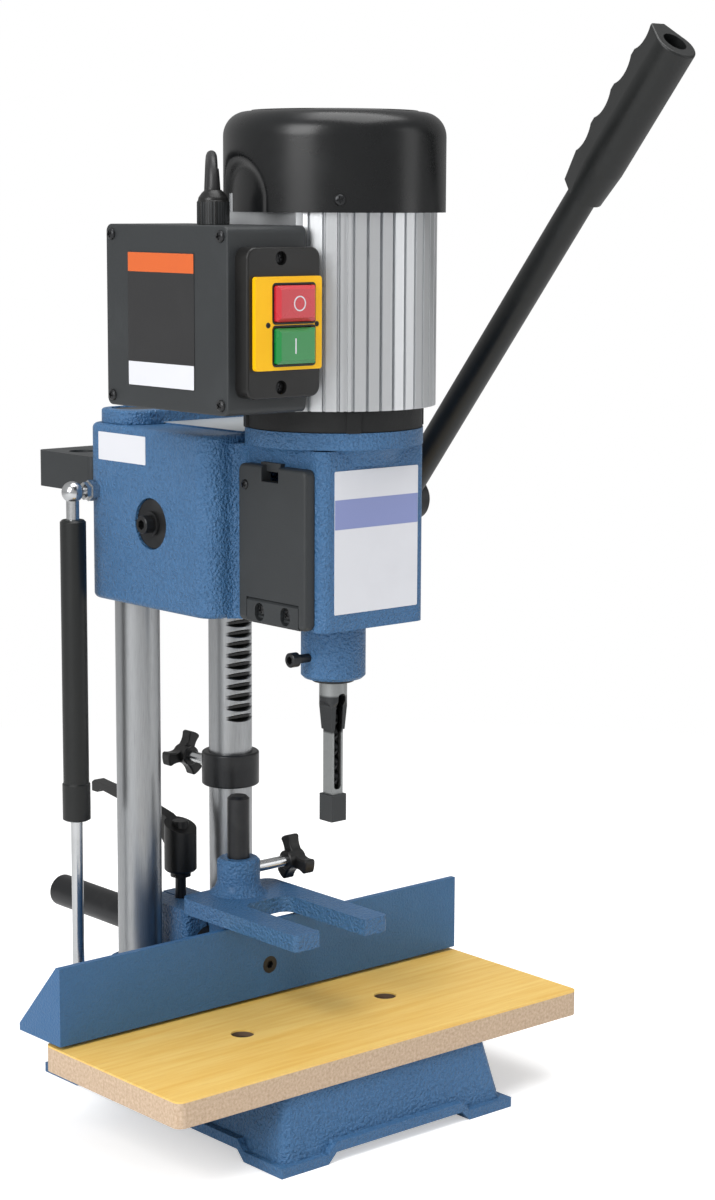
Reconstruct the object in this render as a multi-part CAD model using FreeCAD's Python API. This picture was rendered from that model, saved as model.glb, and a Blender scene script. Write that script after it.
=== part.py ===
import FreeCAD, Part
import math
import os

# Benchtop mortiser: a motor head slides on two columns, drawn down by a rack and pinion,
# and drives an auger inside a hollow square chisel. Millimetres. +X to the operator's
# right, +Y to the back, +Z up. Origin on the bench, midway between the four bench bolts.

V = FreeCAD.Vector
UP = V(0, 0, 1)
RIGHT = V(1, 0, 0)
BACK = V(0, 1, 0)

# ---- clearances ----
run_gap = 0.08          # radial, shaft in its bush and column in its bore
clear = 0.3             # between neighbours that pass each other
seat_gap = 0.2          # between a loose fastener or rod and its hole

# ---- base ----
base_width = 208.0
base_length = 272.0
foot_length = 40.0
foot_height = 7.0
arch_rise = 7.0
foot_bolt_inset = 16.0
bench_bolt_r = 4.0
bench_bolt_depth = 14.0
body_foot_inset = 4.0
body_top_inset = 13.0
base_top = 49.0
base_wall = 9.0
base_deck = 13.0
body_corner_r = 7.0
housing_half_width = 68.0   # raised block at the back that carries the columns
housing_front = 140.5       # behind the chisel axis
housing_rear = 196.0
housing_top = 76.0

# ---- table ----
table_width = 360.0
table_depth = 149.5
table_thick = 18.0
table_overhang = 3.0    # in front of the casting's top edge
table_corner_r = 6.0
table_screw_x = 65.0
table_screw_setback = 80.0
table_screw_head_r = 6.5
table_recess_r = 8.0
table_recess_depth = 9.0

# ---- columns and rack ----
tool_y = -64.0          # chisel and motor axis
column_setback = 166.4  # columns behind the chisel axis
column_x = 42.0
column_r = 16.0
column_foot = 16.0
column_top = 482.5
column_chamfer = 1.5
gear_module = 2.5
pressure_angle = math.radians(20.0)
backlash = 0.25
rack_spaces_below = 20
rack_spaces_above = 4
column_y = tool_y + column_setback
column_boss_r = 24.0
column_boss_top = 82.0

# ---- fence ----
fence_width = table_width
fence_front = 68.3      # face behind the chisel axis
fence_lift = 2.4        # above the table
fence_height = 54.1
fence_top_width = 4.3
fence_foot_width = 48.7
fence_rear_lip = 5.0
fence_rod_r = 12.25
fence_rod_z = 91.0
fence_rod_end = 328.0   # behind the chisel axis
fence_boss_half = 17.0
fence_boss_height = 49.5
fence_screw_r = 4.0
fence_screw_head_r = 6.25
fence_rod_socket = 26.0

# ---- hold-down ----
post_r = 8.0
post_setback = 104.0
post_top = 208.0
post_socket = 13.0
post_flat = 1.2
fork_half_width = 41.5
fork_gap = 20.5
fork_tip = -10.5        # prong ends, relative to the chisel axis
fork_low = 125.8
fork_thick = 11.5
fork_boss_r = 15.5
fork_boss_top = 162.5
fork_rear_margin = 16.0
fork_throat = 84.0
knob_stud_r = 3.0
knob_r = 18.0
knob_depth = 15.0
knob_arms = 3
knob_hollow_r = 13.5
knob_hollow_centre = 20.4
knob_hub_r = 7.3
knob_hub_length = 4.5
fork_knob_x = 43.0
fork_knob_z = 152.5
fork_knob_turn = 40.0

# ---- fence clamp ----
clamp_block_half = 20.0
clamp_block_top = 118.0
clamp_setback = 173.0
clamp_stud_r = 4.0
clamp_hub_low = 138.4
clamp_hub_r = 12.0
clamp_hub_height = 39.0
clamp_hub_slope = 9.0
clamp_arm_reach = 106.0
clamp_arm_width = 9.0
clamp_arm_rise = 12.0
clamp_lip = 7.0

# ---- depth stop ----
stop_collar_r = 21.3
stop_collar_low = 199.5
stop_collar_height = 25.0
stop_knob_reach = 47.5
stop_knob_turn = 54.0

# ---- head casting ----
head_half_width = 71.0
head_front_wall = 46.0  # front of the column block, behind the chisel axis
head_rear_wall = 188.0
head_low = 349.0
head_block_top = 473.5
head_corner_r = 15.0
head_top_edge_r = 4.0
snout_half_width = 46.0
snout_front = -42.0
snout_corner_r = 8.0
snout_top = 480.0
flange_rim = 11.0
flange_sweep = 12.0
flange_low = snout_top - flange_rim
flange_foot = flange_low - flange_sweep
flange_r = 59.5
flange_neck_r = 46.0
throat_fillet_r = 9.0
nose_r = 22.0
nose_low = 309.5
chuck_room_r = 27.0
chuck_room_low = 358.0
chuck_room_roof = 10.0
chuck_room_high = snout_top - chuck_room_roof
door_opening_front = -24.0
door_opening_rear = 38.0
door_opening_low = 370.0
door_opening_high = 452.0
head_wall = 8.0
head_roof = 10.0
column_sleeve_r = 22.0
shaft_sleeve_r = 18.5
cover_post_r = 7.0
cover_mouth = 14.0       # from the cover's edge to the cored hole under it
cover_front = 139.0
cover_rear = 186.0
cover_corner_r = 18.0
cover_half_width = 66.0
cover_thick = 10.0
cover_screw_inset = 7.5
cover_screw_x = 14.0
cover_screw_head_r = 5.0
cover_screw_head = 5.0
cover_screw_grip = 12.0
machined_pad = 1.2
pad_half_width = 38.5
head_travel = 73.5

# ---- feed shaft and lever ----
pinion_teeth = 34
pinion_width = 18.0
pinion_hub_r = 17.0
pinion_z = 408.5
shaft_r = 10.0
shaft_bush_wall = 3.0
shaft_bush_length = 26.0
shaft_boss_r = 21.0
shaft_boss_end = 118.0
end_disc_r = 17.2
end_disc_thick = 4.0
end_disc_bore_r = 17.8
end_disc_recess = 1.5
hub_r = 15.5
hub_start = 146.0
hub_end = 177.0
lever_x = 160.0
lever_r = 10.65
lever_wall = 2.6
lever_angle = math.radians(39.1)
lever_length = 416.0
grip_length = 126.0
grip_finger_side = 20.5    # from the tube's axis to the finger edge
grip_heel = 16.4
grip_width = 26.0
grip_edge_width = 13.0
grip_shoulder = 15.0
grip_hole_r = 8.5
grip_hole_depth = 30.0
grip_scallop_r = 17.0
grip_scallop_depth = 4.5
grip_scallops = 4
grip_foot_length = 26.0

# ---- chuck door ----
door_front = -35.0
door_rear = 34.8
door_top = 456.0
door_thick = 8.0
door_corner_r = 5.0
door_edge_r = 2.2
door_low = 350.0
door_pin_r = 1.5
hinge_front = -28.0
hinge_rear = 25.5
hinge_top = 366.5
notch_front = -7.6
notch_rear = 9.9
notch_depth = 10.5
catch_rise = 1.8
catch_thick = 3.5
catch_overlap = 6.0
hinge_screw_spacing = 26.8
hinge_screw_grip = 8.0
hinge_sink_r = 4.9
hinge_sink_depth = 3.4

# ---- chisel, auger and chuck ----
chisel_shank_r = 9.5
chisel_shank_low = 298.0
chisel_shank_top = 344.0
chisel_bend = 290.0
chisel_bend_side = 13.5
chisel_taper_low = 273.5
chisel_neck = 11.2
chisel_side = 9.5
chisel_tip = 213.0
chisel_bore_r = 3.9
shank_bore_r = 5.5
chip_slot_width = 6.0
chip_slot_low = 232.0
chip_slot_high = 299.0
cap_side = 13.5
cap_low = 210.0
cap_high = 228.4
auger_r = 3.5
auger_core = 2.4
auger_pitch = 20.0
auger_tip = 211.5
auger_flute_top = 296.0
bush_flange_r = 14.5
bush_flange_thick = 2.7
bush_height = 30.0
chuck_r = 18.0
chuck_low = 388.0
chuck_high = 440.0
chuck_nose_r = 9.0
chuck_socket = 18.0
lock_screw_z = 325.0
lock_screw_r = 3.0
lock_head_r = 5.0
lock_head_length = 6.5
lock_head_x = -38.5

# ---- motor ----
motor_flange_thick = 14.8
motor_flange_top = snout_top + motor_flange_thick
motor_flange_r = 59.0
flange_lug_width = 10.0
flange_lug_root = 6.0       # how far a lug reaches into the flange
flange_lug_proud = 1.5
flange_lug_angle = 28.2   # of the first lug, clockwise from the front
motor_r = 67.7
fin_depth = 3.0
motor_root_r = motor_r - fin_depth
motor_wall = 5.0
fin_count = 45
fin_tip = 7.2
fin_root = 8.3
fin_slot_width = 2.6
fin_slot_turn = 6.0       # from each flange lug to the wider slot beside it
motor_height = 126.2
motor_top = motor_flange_top + motor_height
pad_x = 63.0
pad_half = 36.0
end_shield = 9.0
stator_foot = 20.0
stator_head = 23.0
stator_low = motor_flange_top + stator_foot
stator_high = motor_top - stator_head
stator_inner_r = 31.0
rotor_r = 30.4
motor_shaft_r = 8.0
bearing_r = 17.5
bearing_height = 11.0
cap_r = 73.3
cap_height = 66.0
cap_top = motor_top + cap_height
cap_edge_r = 12.0
cap_wall = 2.5
spigot_height = 12.0
spigot_wall = 9.0
cap_screw_lift = 8.0
cap_screw_grip = 9.0
cap_flat_x = 66.0
cap_arch_r = 28.0
cap_arch_lift = 11.0
cap_arch_z = motor_top + cap_arch_lift
vent_slots = 20
vent_inner_r = 22.0
vent_outer_r = 50.0
vent_width = 4.5
fan_r = 55.0
fan_low = motor_top + 13.0
fan_height = 20.0
fan_blades = 8
fan_hub_r = 15.0

# ---- junction box and switch ----
box_left = -126.0
box_front = -46.0
box_rear = 82.0
box_foot_gap = 0.7
box_top_gap = 8.0
box_low = motor_flange_top + box_foot_gap
box_high = motor_top - box_top_gap
box_wall = 3.0
box_edge_r = 5.0
lid_thick = 4.0
lid_screw_inset = 6.5
pan_head_r = 3.8
pan_head_height = 2.4
gland_x = -91.0
gland_y = 13.0
gland_r = 10.9
gland_hex_height = 15.0
gland_dome_height = 7.0
lead_r = 3.25
switch_left = -120.0
switch_right = -61.0
switch_low = 506.3
switch_high = 600.0
switch_depth = 12.0
switch_corner_r = 7.0
switch_block_inset = 10.0
switch_block_depth = 26.0
switch_mount_x = -93.0
switch_mount_inset = 6.8
switch_mount_r = 4.4
bezel_left = -116.0
bezel_right = -62.4
bezel_low = 524.0
bezel_high = 582.0
bezel_thick = 3.0
bezel_screw_r = 1.8
button_left = -100.9
button_right = -69.2
stop_low = 554.1
start_low = 527.8
button_height = 22.4
button_proud = 4.2
button_skirt = 2.4
button_travel = 3.0
button_gap = 0.5
button_depth = 9.0

# ---- gas spring ----
spring_x = -90.0
spring_setback = 176.0
spring_top_z = 426.0
ball_socket_r = 7.7
ball_neck_r = 4.6
spring_tube_r = 9.2
spring_tube_wall = 1.5
spring_tube_top = 406.5
spring_tube_low = 190.5
spring_sleeve_top = 218.0
spring_sleeve_proud = 0.8
spring_rod_r = 4.2
spring_foot_z = 62.0
stud_r = 4.0
stud_depth = 9.5
ball_r = 5.0

# ---- chisel rack behind the head ----
holder_half = 65.0
holder_rear = 256.5
holder_top = 448.0
holder_height = 26.0
holder_wall = 3.0
holder_corner_r = 6.0
holder_holes = 4
holder_hole_r = 9.75
holder_hole_spacing = 30.4
holder_hole_setback = 227.0
holder_stagger = 10.0

# ---- mains lead, points from the gland to the floor, then the coil ----
coil_x = 50.0
coil_y = 245.0
coil_mean_r = 36.0
coil_turns = 4
coil_layers = 2
coil_tail = 30.0          # straight end of the lead from the coil to the plug
plug_length = 32.0
plug_neck = 14.0
plug_neck_r = 5.0
plug_width = 36.0
plug_height = 26.0
pin_r = 2.4
pin_length = 19.0
pin_spacing = 19.0

fence_y = tool_y + fence_front
post_y = tool_y + post_setback
clamp_y = tool_y + clamp_setback
snout_y = tool_y + snout_front
head_front_y = tool_y + head_front_wall
head_rear_y = tool_y + head_rear_wall
spring_y = tool_y + spring_setback
table_top = base_top + table_thick
cover_low = head_block_top
cover_top = cover_low + cover_thick
pitch_r = gear_module * pinion_teeth / 2
rack_line_y = column_y - column_r + gear_module
pinion_y = rack_line_y - pitch_r
lever_axis = V(0, -math.sin(lever_angle), math.cos(lever_angle))


# ---- shapes used again and again ----
def box(x, y, z):
    return Part.makeBox(x[1] - x[0], y[1] - y[0], z[1] - z[0], V(x[0], y[0], z[0]))


def bar(radius, start, end):
    run = end.sub(start)
    return Part.makeCylinder(radius, run.Length, start, run)


def upright(radius, x, y, low, high):
    return Part.makeCylinder(radius, high - low, V(x, y, low), UP)


def rounded_box(x, y, z, radius):
    block = box(x, y, z)
    edges = [e for e in block.Edges if abs(e.tangentAt(e.FirstParameter).z) > 0.9]
    return block.makeFillet(radius, edges)


def rounded_slab(x, y, z, radius, along):
    """A box whose edges along one axis, 0 for X, 1 for Y or 2 for Z, are rounded."""
    block = box(x, y, z)
    edges = [e for e in block.Edges if abs(e.tangentAt(e.FirstParameter)[along]) > 0.9]
    return block.makeFillet(radius, edges)


def prism(points, run):
    return Part.Face(Part.makePolygon(points + [points[0]])).extrude(run)


def turned(profile, x, y):
    """Revolve (radius, height) points about the upright line through x, y."""
    points = [V(x + r, y, z) for r, z in profile]
    face = Part.Face(Part.makePolygon(points + [points[0]]))
    return face.revolve(V(x, y, 0), UP, 360)


def lay_along(shape, origin, direction):
    """Turn a shape built upright at the origin so that its height runs along direction."""
    placed = shape.copy()
    turn = FreeCAD.Rotation(UP, direction)
    placed.Placement = FreeCAD.Placement(origin, turn).multiply(placed.Placement)
    return placed


def hexagon(across_flats, height, centre, direction):
    radius = across_flats / 2 / math.cos(math.radians(30))
    points = [V(radius * math.cos(math.radians(60 * i)), radius * math.sin(math.radians(60 * i)), 0)
              for i in range(6)]
    return lay_along(prism(points, V(0, 0, height)), centre, direction)


def union(shapes):
    whole = shapes[0]
    for shape in shapes[1:]:
        whole = whole.fuse(shape)
    return whole.removeSplitter()


def compound(solids):
    return Part.makeCompound(solids)


def socket_screw(head_r, head_length, body_r, body_length, centre, direction):
    """Cap screw with its head's outer face at centre and its thread running along direction."""
    head = Part.makeCylinder(head_r, head_length)
    head = head.makeChamfer(0.5, [head.Edges[0], head.Edges[2]])
    body = Part.makeCylinder(body_r, body_length, V(0, 0, head_length))
    key = hexagon(head_r, head_length * 0.6, V(0, 0, 0), UP)
    return lay_along(head.fuse(body).cut(key), centre, direction)


def pan_screw(centre, direction, body_length):
    """Small cover screw: domed head, its underside at centre, its body along direction."""
    dome_r = (pan_head_r ** 2 + pan_head_height ** 2) / (2 * pan_head_height)
    ball = Part.makeSphere(dome_r, V(0, 0, dome_r - pan_head_height))
    head = ball.common(Part.makeCylinder(dome_r, pan_head_height, V(0, 0, -pan_head_height)))
    body = Part.makeCylinder(pan_head_r / 2, body_length)
    cross_arm = pan_head_r * 1.1
    slots = [Part.makeBox(cross_arm, 0.9, 1.2, V(-cross_arm / 2, -0.45, -pan_head_height)),
             Part.makeBox(0.9, cross_arm, 1.2, V(-0.45, -cross_arm / 2, -pan_head_height))]
    return lay_along(head.fuse(body).cut(slots), centre, direction)


# ---- base ----
def arch_band(half, foot_inner, low, high):
    """Outline of a foot flange that steps up between its feet, from -half to half."""
    slope = arch_rise
    return [(-half, low), (-foot_inner, low), (-foot_inner + slope, low + arch_rise),
            (foot_inner - slope, low + arch_rise), (foot_inner, low), (half, low),
            (half, high), (foot_inner, high), (foot_inner - slope, high + arch_rise),
            (-foot_inner + slope, high + arch_rise), (-foot_inner, high), (-half, high)]


def frustum(low, high, low_half_x, low_half_y, high_half_x, high_half_y, radius):
    rings = []
    for z, half_x, half_y in ((low, low_half_x, low_half_y), (high, high_half_x, high_half_y)):
        plate = rounded_box((-half_x, half_x), (-half_y, half_y), (z, z + 1), radius)
        face = [f for f in plate.Faces if abs(f.CenterOfMass.z - z) < 1e-6][0]
        rings.append(face.OuterWire)
    return Part.makeLoft(rings, True, True)


def base_casting():
    half_x = base_width / 2
    half_y = base_length / 2
    inner_x = half_x - foot_length
    inner_y = half_y - foot_length
    rim = base_wall + body_foot_inset
    front = [V(x, -half_y, z) for x, z in arch_band(half_x, inner_x, 0, foot_height)]
    side = [V(-half_x, y, z) for y, z in arch_band(half_y, inner_y, 0, foot_height)]
    front_lip = prism(front, V(0, rim, 0))
    side_lip = prism(side, V(rim, 0, 0))
    rear_lip = front_lip.translated(V(0, base_length - rim, 0))
    right_lip = side_lip.translated(V(base_width - rim, 0, 0))
    low_x = half_x - body_foot_inset
    low_y = half_y - body_foot_inset
    top_x = half_x - body_top_inset
    top_y = half_y - body_top_inset
    body = frustum(foot_height - 3, base_top, low_x, low_y, top_x, top_y, body_corner_r)
    hollow = frustum(-1, base_top - base_deck, low_x - base_wall, low_y - base_wall,
                     top_x - base_wall, top_y - base_wall, body_corner_r)
    arches = []
    for half, other, turn in ((inner_x, half_y, 0), (inner_y, half_x, 90)):
        arch = [V(-half, -other - 1, 0), V(-half + arch_rise, -other - 1, arch_rise),
                V(half - arch_rise, -other - 1, arch_rise), V(half, -other - 1, 0),
                V(half, -other - 1, -1), V(-half, -other - 1, -1)]
        cutter = prism(arch, V(0, 2 * other + 2, 0))
        cutter.rotate(V(0, 0, 0), UP, turn)
        arches.append(cutter)
    shell = union([body, front_lip, side_lip, rear_lip, right_lip])
    shell = shell.cut(arches + [hollow])
    bolts = [(sx * (half_x - foot_bolt_inset), sy * (half_y - foot_bolt_inset))
             for sx in (-1, 1) for sy in (-1, 1)]
    feet = [upright(foot_bolt_inset * 0.75, x, y, 0, base_top - base_deck + 1) for x, y in bolts]
    feet = [foot.common(frustum(0, base_top, low_x + 1, low_y + 1, top_x, top_y, body_corner_r))
            for foot in feet]
    bosses = []
    for x in (-column_x, column_x):
        bosses.append(turned([(0, column_foot - 4), (column_boss_r, column_foot - 4),
                              (column_boss_r, column_boss_top - 4),
                              (column_boss_r - 2, column_boss_top), (0, column_boss_top)],
                             x, column_y))
    block = rounded_box((-clamp_block_half, clamp_block_half),
                        (tool_y + housing_front, tool_y + housing_rear),
                        (base_top - 5, clamp_block_top), 5)
    housing = rounded_box((-housing_half_width, housing_half_width),
                          (tool_y + housing_front, tool_y + housing_rear),
                          (base_top - 5, housing_top), 8)
    whole = union([shell, housing, block] + bosses + feet)
    holes = [upright(column_r, x, column_y, column_foot, column_boss_top + 1)
             for x in (-column_x, column_x)]
    holes += [upright(bench_bolt_r, x, y, -1, bench_bolt_depth) for x, y in bolts]
    holes.append(bar(fence_rod_r + run_gap, V(0, 0, fence_rod_z), V(0, half_y * 2, fence_rod_z)))
    holes.append(upright(clamp_stud_r + seat_gap, 0, clamp_y, fence_rod_z, clamp_block_top + 1))
    slit_low = fence_rod_z
    holes.append(box((-1, 1), (tool_y + housing_front - 1, tool_y + housing_rear + 1),
                     (slit_low, clamp_block_top + 1)))
    holes.append(bar(stud_r, V(-housing_half_width - 1, spring_y, spring_foot_z),
                     V(-housing_half_width + stud_depth, spring_y, spring_foot_z)))
    for x in (-table_screw_x, table_screw_x):
        holes.append(upright(3, x, table_screw_y(), base_top - base_deck, base_top + 1))
    return whole.cut(holes)


def table_front_y():
    return -base_length / 2 + body_top_inset - table_overhang


def table_screw_y():
    return table_front_y() + table_screw_setback


def table_board():
    board = rounded_box((-table_width / 2, table_width / 2),
                        (table_front_y(), table_front_y() + table_depth),
                        (base_top, table_top), table_corner_r)
    holes = []
    for x in (-table_screw_x, table_screw_x):
        holes.append(upright(table_recess_r, x, table_screw_y(),
                             table_top - table_recess_depth, table_top + 1))
        holes.append(upright(3 + seat_gap, x, table_screw_y(), base_top - 1, table_top))
    return board.cut(holes)


def table_screws():
    seat = table_top - table_recess_depth
    return compound([socket_screw(table_screw_head_r, 5, 3, seat - base_top + base_deck - 1,
                                  V(x, table_screw_y(), seat + 5), V(0, 0, -1))
                     for x in (-table_screw_x, table_screw_x)])


# ---- columns ----
def plain_column(x):
    return turned([(0, column_foot), (column_r, column_foot),
                   (column_r, column_top - column_chamfer),
                   (column_r - column_chamfer, column_top), (0, column_top)], x, column_y)


def rack_column():
    """Round bar whose front side is milled with straight rack teeth."""
    pitch = math.pi * gear_module
    out = gear_module + 1
    depth = 1.25 * gear_module
    half = pitch / 4 + backlash / 2
    half_out = half + out * math.tan(pressure_angle)
    half_in = half - depth * math.tan(pressure_angle)
    spaces = []
    for k in range(-rack_spaces_below, rack_spaces_above + 1):
        z = pinion_z + k * pitch
        outline = [V(column_x - column_r, rack_line_y - out, z - half_out),
                   V(column_x - column_r, rack_line_y + depth, z - half_in),
                   V(column_x - column_r, rack_line_y + depth, z + half_in),
                   V(column_x - column_r, rack_line_y - out, z + half_out)]
        spaces.append(prism(outline, V(2 * column_r, 0, 0)))
    return plain_column(column_x).cut(spaces)


# ---- fence, post and fence clamp ----
def fence_casting():
    half = fence_width / 2
    low = table_top + fence_lift
    high = low + fence_height
    outline = [V(-half, fence_y, low), V(-half, fence_y, high),
               V(-half, fence_y + fence_top_width, high),
               V(-half, fence_y + fence_foot_width, low + fence_rear_lip),
               V(-half, fence_y + fence_foot_width, low)]
    wedge = prism(outline, V(fence_width, 0, 0))
    boss = rounded_box((-fence_boss_half, fence_boss_half),
                       (fence_y + 2, post_y + fence_boss_half - 1),
                       (low, low + fence_boss_height), 5)
    whole = union([wedge, boss])
    rear = post_y + fence_boss_half
    cuts = [bar(fence_rod_r, V(0, rear - fence_rod_socket, fence_rod_z), V(0, rear + 1, fence_rod_z)),
            bar(fence_screw_r + seat_gap, V(0, fence_y - 1, fence_rod_z), V(0, rear, fence_rod_z)),
            upright(post_r, 0, post_y, low + fence_boss_height - post_socket, high + 20)]
    sink = Part.makeCone(fence_screw_head_r, fence_screw_r, fence_screw_head_r - fence_screw_r)
    cuts.append(lay_along(sink, V(0, fence_y, fence_rod_z), BACK))
    return whole.cut(cuts)


def fence_screw():
    rear = post_y + fence_boss_half - fence_rod_socket
    sink = Part.makeCone(fence_screw_head_r, fence_screw_r, fence_screw_head_r - fence_screw_r)
    body = Part.makeCylinder(fence_screw_r, rear - fence_y + 18)
    key = hexagon(fence_screw_r * 1.3, 3, V(0, 0, 0), UP)
    return lay_along(sink.fuse(body).cut(key), V(0, fence_y, fence_rod_z), BACK)


def fence_rod():
    front = post_y + fence_boss_half - fence_rod_socket
    length = tool_y + fence_rod_end - front
    rod = turned([(0, 0), (fence_rod_r, 0), (fence_rod_r, length - 1.5),
                  (fence_rod_r - 1.5, length), (0, length)], 0, 0)
    rod = rod.cut(Part.makeCylinder(fence_screw_r, 19))
    return lay_along(rod, V(0, front, fence_rod_z), BACK)


def hold_down_post():
    low = table_top + fence_lift + fence_boss_height - post_socket
    post = turned([(0, low), (post_r, low), (post_r, post_top - 2), (post_r - 2, post_top),
                   (0, post_top)], 0, post_y)
    flat_low = fork_boss_top - 30
    return post.cut(box((post_r - post_flat, post_r + 1), (post_y - post_r, post_y + post_r),
                        (flat_low, post_top + 1)))


def hold_down_fork():
    tip = tool_y + fork_tip
    rear = post_y + fork_rear_margin
    high = fork_low + fork_thick
    plate = rounded_box((-fork_half_width, fork_half_width), (tip, rear), (fork_low, high), 9)
    tips = rounded_box((-fork_half_width, fork_half_width), (tip, rear - 20), (fork_low, high), 3)
    gap_end = tip + fork_throat
    gap = rounded_box((-fork_gap, fork_gap), (tip - 30, gap_end), (fork_low - 1, high + 1), 9)
    prongs = plate.fuse(tips).cut(gap)
    boss = turned([(0, fork_low), (fork_boss_r + 8, fork_low + 1), (fork_boss_r + 8, high - 2),
                   (fork_boss_r + 2, high + 3), (fork_boss_r, high + 8),
                   (fork_boss_r, fork_boss_top - 2), (fork_boss_r - 2, fork_boss_top),
                   (0, fork_boss_top)], 0, post_y)
    neck = box((-fork_half_width, fork_half_width), (gap_end, rear), (0, fork_boss_top + 1))
    fork = union([prongs, boss.common(neck)])
    bore = upright(post_r + run_gap, 0, post_y, fork_low - 1, fork_boss_top + 1)
    stud_hole = bar(knob_stud_r, V(0, post_y, fork_knob_z),
                    V(fork_boss_r + 5, post_y, fork_knob_z))
    return fork.cut([bore, stud_hole])


def star_knob(tip, direction, stud_length, turn):
    """Plastic knob with three flared arms on a steel stud; tip is the stud's free end."""
    low = stud_length + knob_hub_length
    high = stud_length + knob_depth - 1
    star = Part.makeCylinder(knob_r, high - low, V(0, 0, low))
    hollows = []
    for i in range(knob_arms):
        hollow = Part.makeCylinder(knob_hollow_r, high - low + 2, V(knob_hollow_centre, 0, low - 1))
        hollow.rotate(V(0, 0, 0), UP, turn + 360 / knob_arms * (i + 0.5))
        hollows.append(hollow)
    star = star.cut(hollows)
    corners = [e for e in star.Edges if abs(e.tangentAt(e.FirstParameter).z) > 0.9]
    star = star.makeFillet(2, corners)
    rims = [e for e in star.Edges if e.BoundBox.ZLength < 0.01]
    star = star.makeFillet(1.4, rims)
    hub = turned([(0, stud_length), (knob_hub_r - 0.8, stud_length), (knob_hub_r, stud_length + 0.8),
                  (knob_hub_r, high), (knob_hub_r - 1.5, stud_length + knob_depth),
                  (0, stud_length + knob_depth)], 0, 0)
    stud = Part.makeCylinder(knob_stud_r - run_gap, stud_length + 1)
    return lay_along(union([hub, stud, star]), tip, direction)


def fork_knob():
    start = post_r - post_flat + clear
    return star_knob(V(start, post_y, fork_knob_z), RIGHT, fork_knob_x - start, fork_knob_turn)


def clamp_stud():
    return upright(clamp_stud_r, 0, clamp_y, fence_rod_z + fence_rod_r + clear,
                   clamp_hub_low + 20)


def clamp_lever():
    """Indexing handle: a hub cut off at a slope, a collar under it and an arm that rises to the back."""
    top = clamp_hub_low + clamp_hub_height
    hub = turned([(0, clamp_hub_low - 4), (7.6, clamp_hub_low - 4), (7.6, clamp_hub_low),
                  (clamp_hub_r - 1.5, clamp_hub_low), (clamp_hub_r, clamp_hub_low + 1.5),
                  (clamp_hub_r, top), (0, top)], 0, clamp_y)
    front = clamp_y - clamp_hub_r - 1
    back = clamp_y + clamp_hub_r + 1
    slope = prism([V(-clamp_hub_r - 1, front, top - clamp_hub_slope), V(-clamp_hub_r - 1, back, top),
                   V(-clamp_hub_r - 1, back, top + 5), V(-clamp_hub_r - 1, front, top + 5)],
                  V(2 * clamp_hub_r + 2, 0, 0))
    button = upright(6, 0, clamp_y, clamp_hub_low + 20, top - 1)
    tip_y = clamp_y + clamp_arm_reach
    high = top + clamp_arm_rise
    side = [V(0, clamp_y + 2, top - 24), V(0, clamp_y + 2, top - clamp_hub_slope / 2),
            V(0, clamp_y + 14, top + 1), V(0, clamp_y + 40, top + 6), V(0, tip_y - 3, high),
            V(0, tip_y, high - 2), V(0, tip_y, high - 9), V(0, tip_y - clamp_lip, high - 9),
            V(0, tip_y - clamp_lip - 3, high - 6), V(0, clamp_y + 45, top - 1),
            V(0, clamp_y + 22, top - 12), V(0, clamp_y + 11, top - 24)]
    arm = prism([point + V(-clamp_arm_width / 2, 0, 0) for point in side],
                V(clamp_arm_width, 0, 0))
    whole = union([hub.cut(slope), arm, button])
    return whole.cut(upright(clamp_stud_r, 0, clamp_y, clamp_hub_low - 5, clamp_hub_low + 20))


# ---- depth stop ----
def stop_collar():
    high = stop_collar_low + stop_collar_height
    ring = turned([(column_r + run_gap, stop_collar_low), (stop_collar_r - 1, stop_collar_low),
                   (stop_collar_r, stop_collar_low + 1), (stop_collar_r, high - 1),
                   (stop_collar_r - 1, high), (column_r + run_gap, high)], column_x, column_y)
    z = stop_collar_low + stop_collar_height / 2
    return ring.cut(bar(knob_stud_r, V(column_x, column_y + column_r - 3, z),
                        V(column_x, column_y + stop_collar_r + 3, z)))


def stop_knob():
    z = stop_collar_low + stop_collar_height / 2
    start = column_y + column_r + clear
    return star_knob(V(column_x, start, z), BACK, column_y + stop_knob_reach - start, stop_knob_turn)


# ---- head ----
def snout_block():
    inside_y = head_front_y + 20
    block = rounded_box((-snout_half_width, snout_half_width), (snout_y, inside_y),
                        (head_low, snout_top - 12), snout_corner_r)
    flare = motor_seat()
    nose = turned([(0, nose_low), (nose_r - 2, nose_low), (nose_r, nose_low + 2),
                   (nose_r, head_low + 1), (0, head_low + 1)], 0, tool_y)
    return [block, flare, nose]


def motor_seat():
    """Round seat for the motor, swept out from the snout by a hollow curve."""
    out = flange_r - flange_neck_r
    rise = flange_low - flange_foot
    r = (out ** 2 + rise ** 2) / (2 * out)
    end = math.atan2(rise, out - r)
    middle = (end + math.pi) / 2
    foot = V(flange_neck_r, 0, flange_foot)
    lip = V(flange_r, 0, flange_low)
    half_way = V(flange_neck_r + r + r * math.cos(middle), 0, flange_foot + r * math.sin(middle))
    edges = [Part.makeLine(V(0, 0, flange_foot), foot), Part.Arc(foot, half_way, lip).toShape(),
             Part.makeLine(lip, V(flange_r, 0, snout_top)),
             Part.makeLine(V(flange_r, 0, snout_top), V(0, 0, snout_top)),
             Part.makeLine(V(0, 0, snout_top), V(0, 0, flange_foot))]
    seat = Part.Face(Part.Wire(edges)).revolve(V(0, 0, 0), UP, 360)
    return seat.translated(V(0, tool_y, 0))


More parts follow.
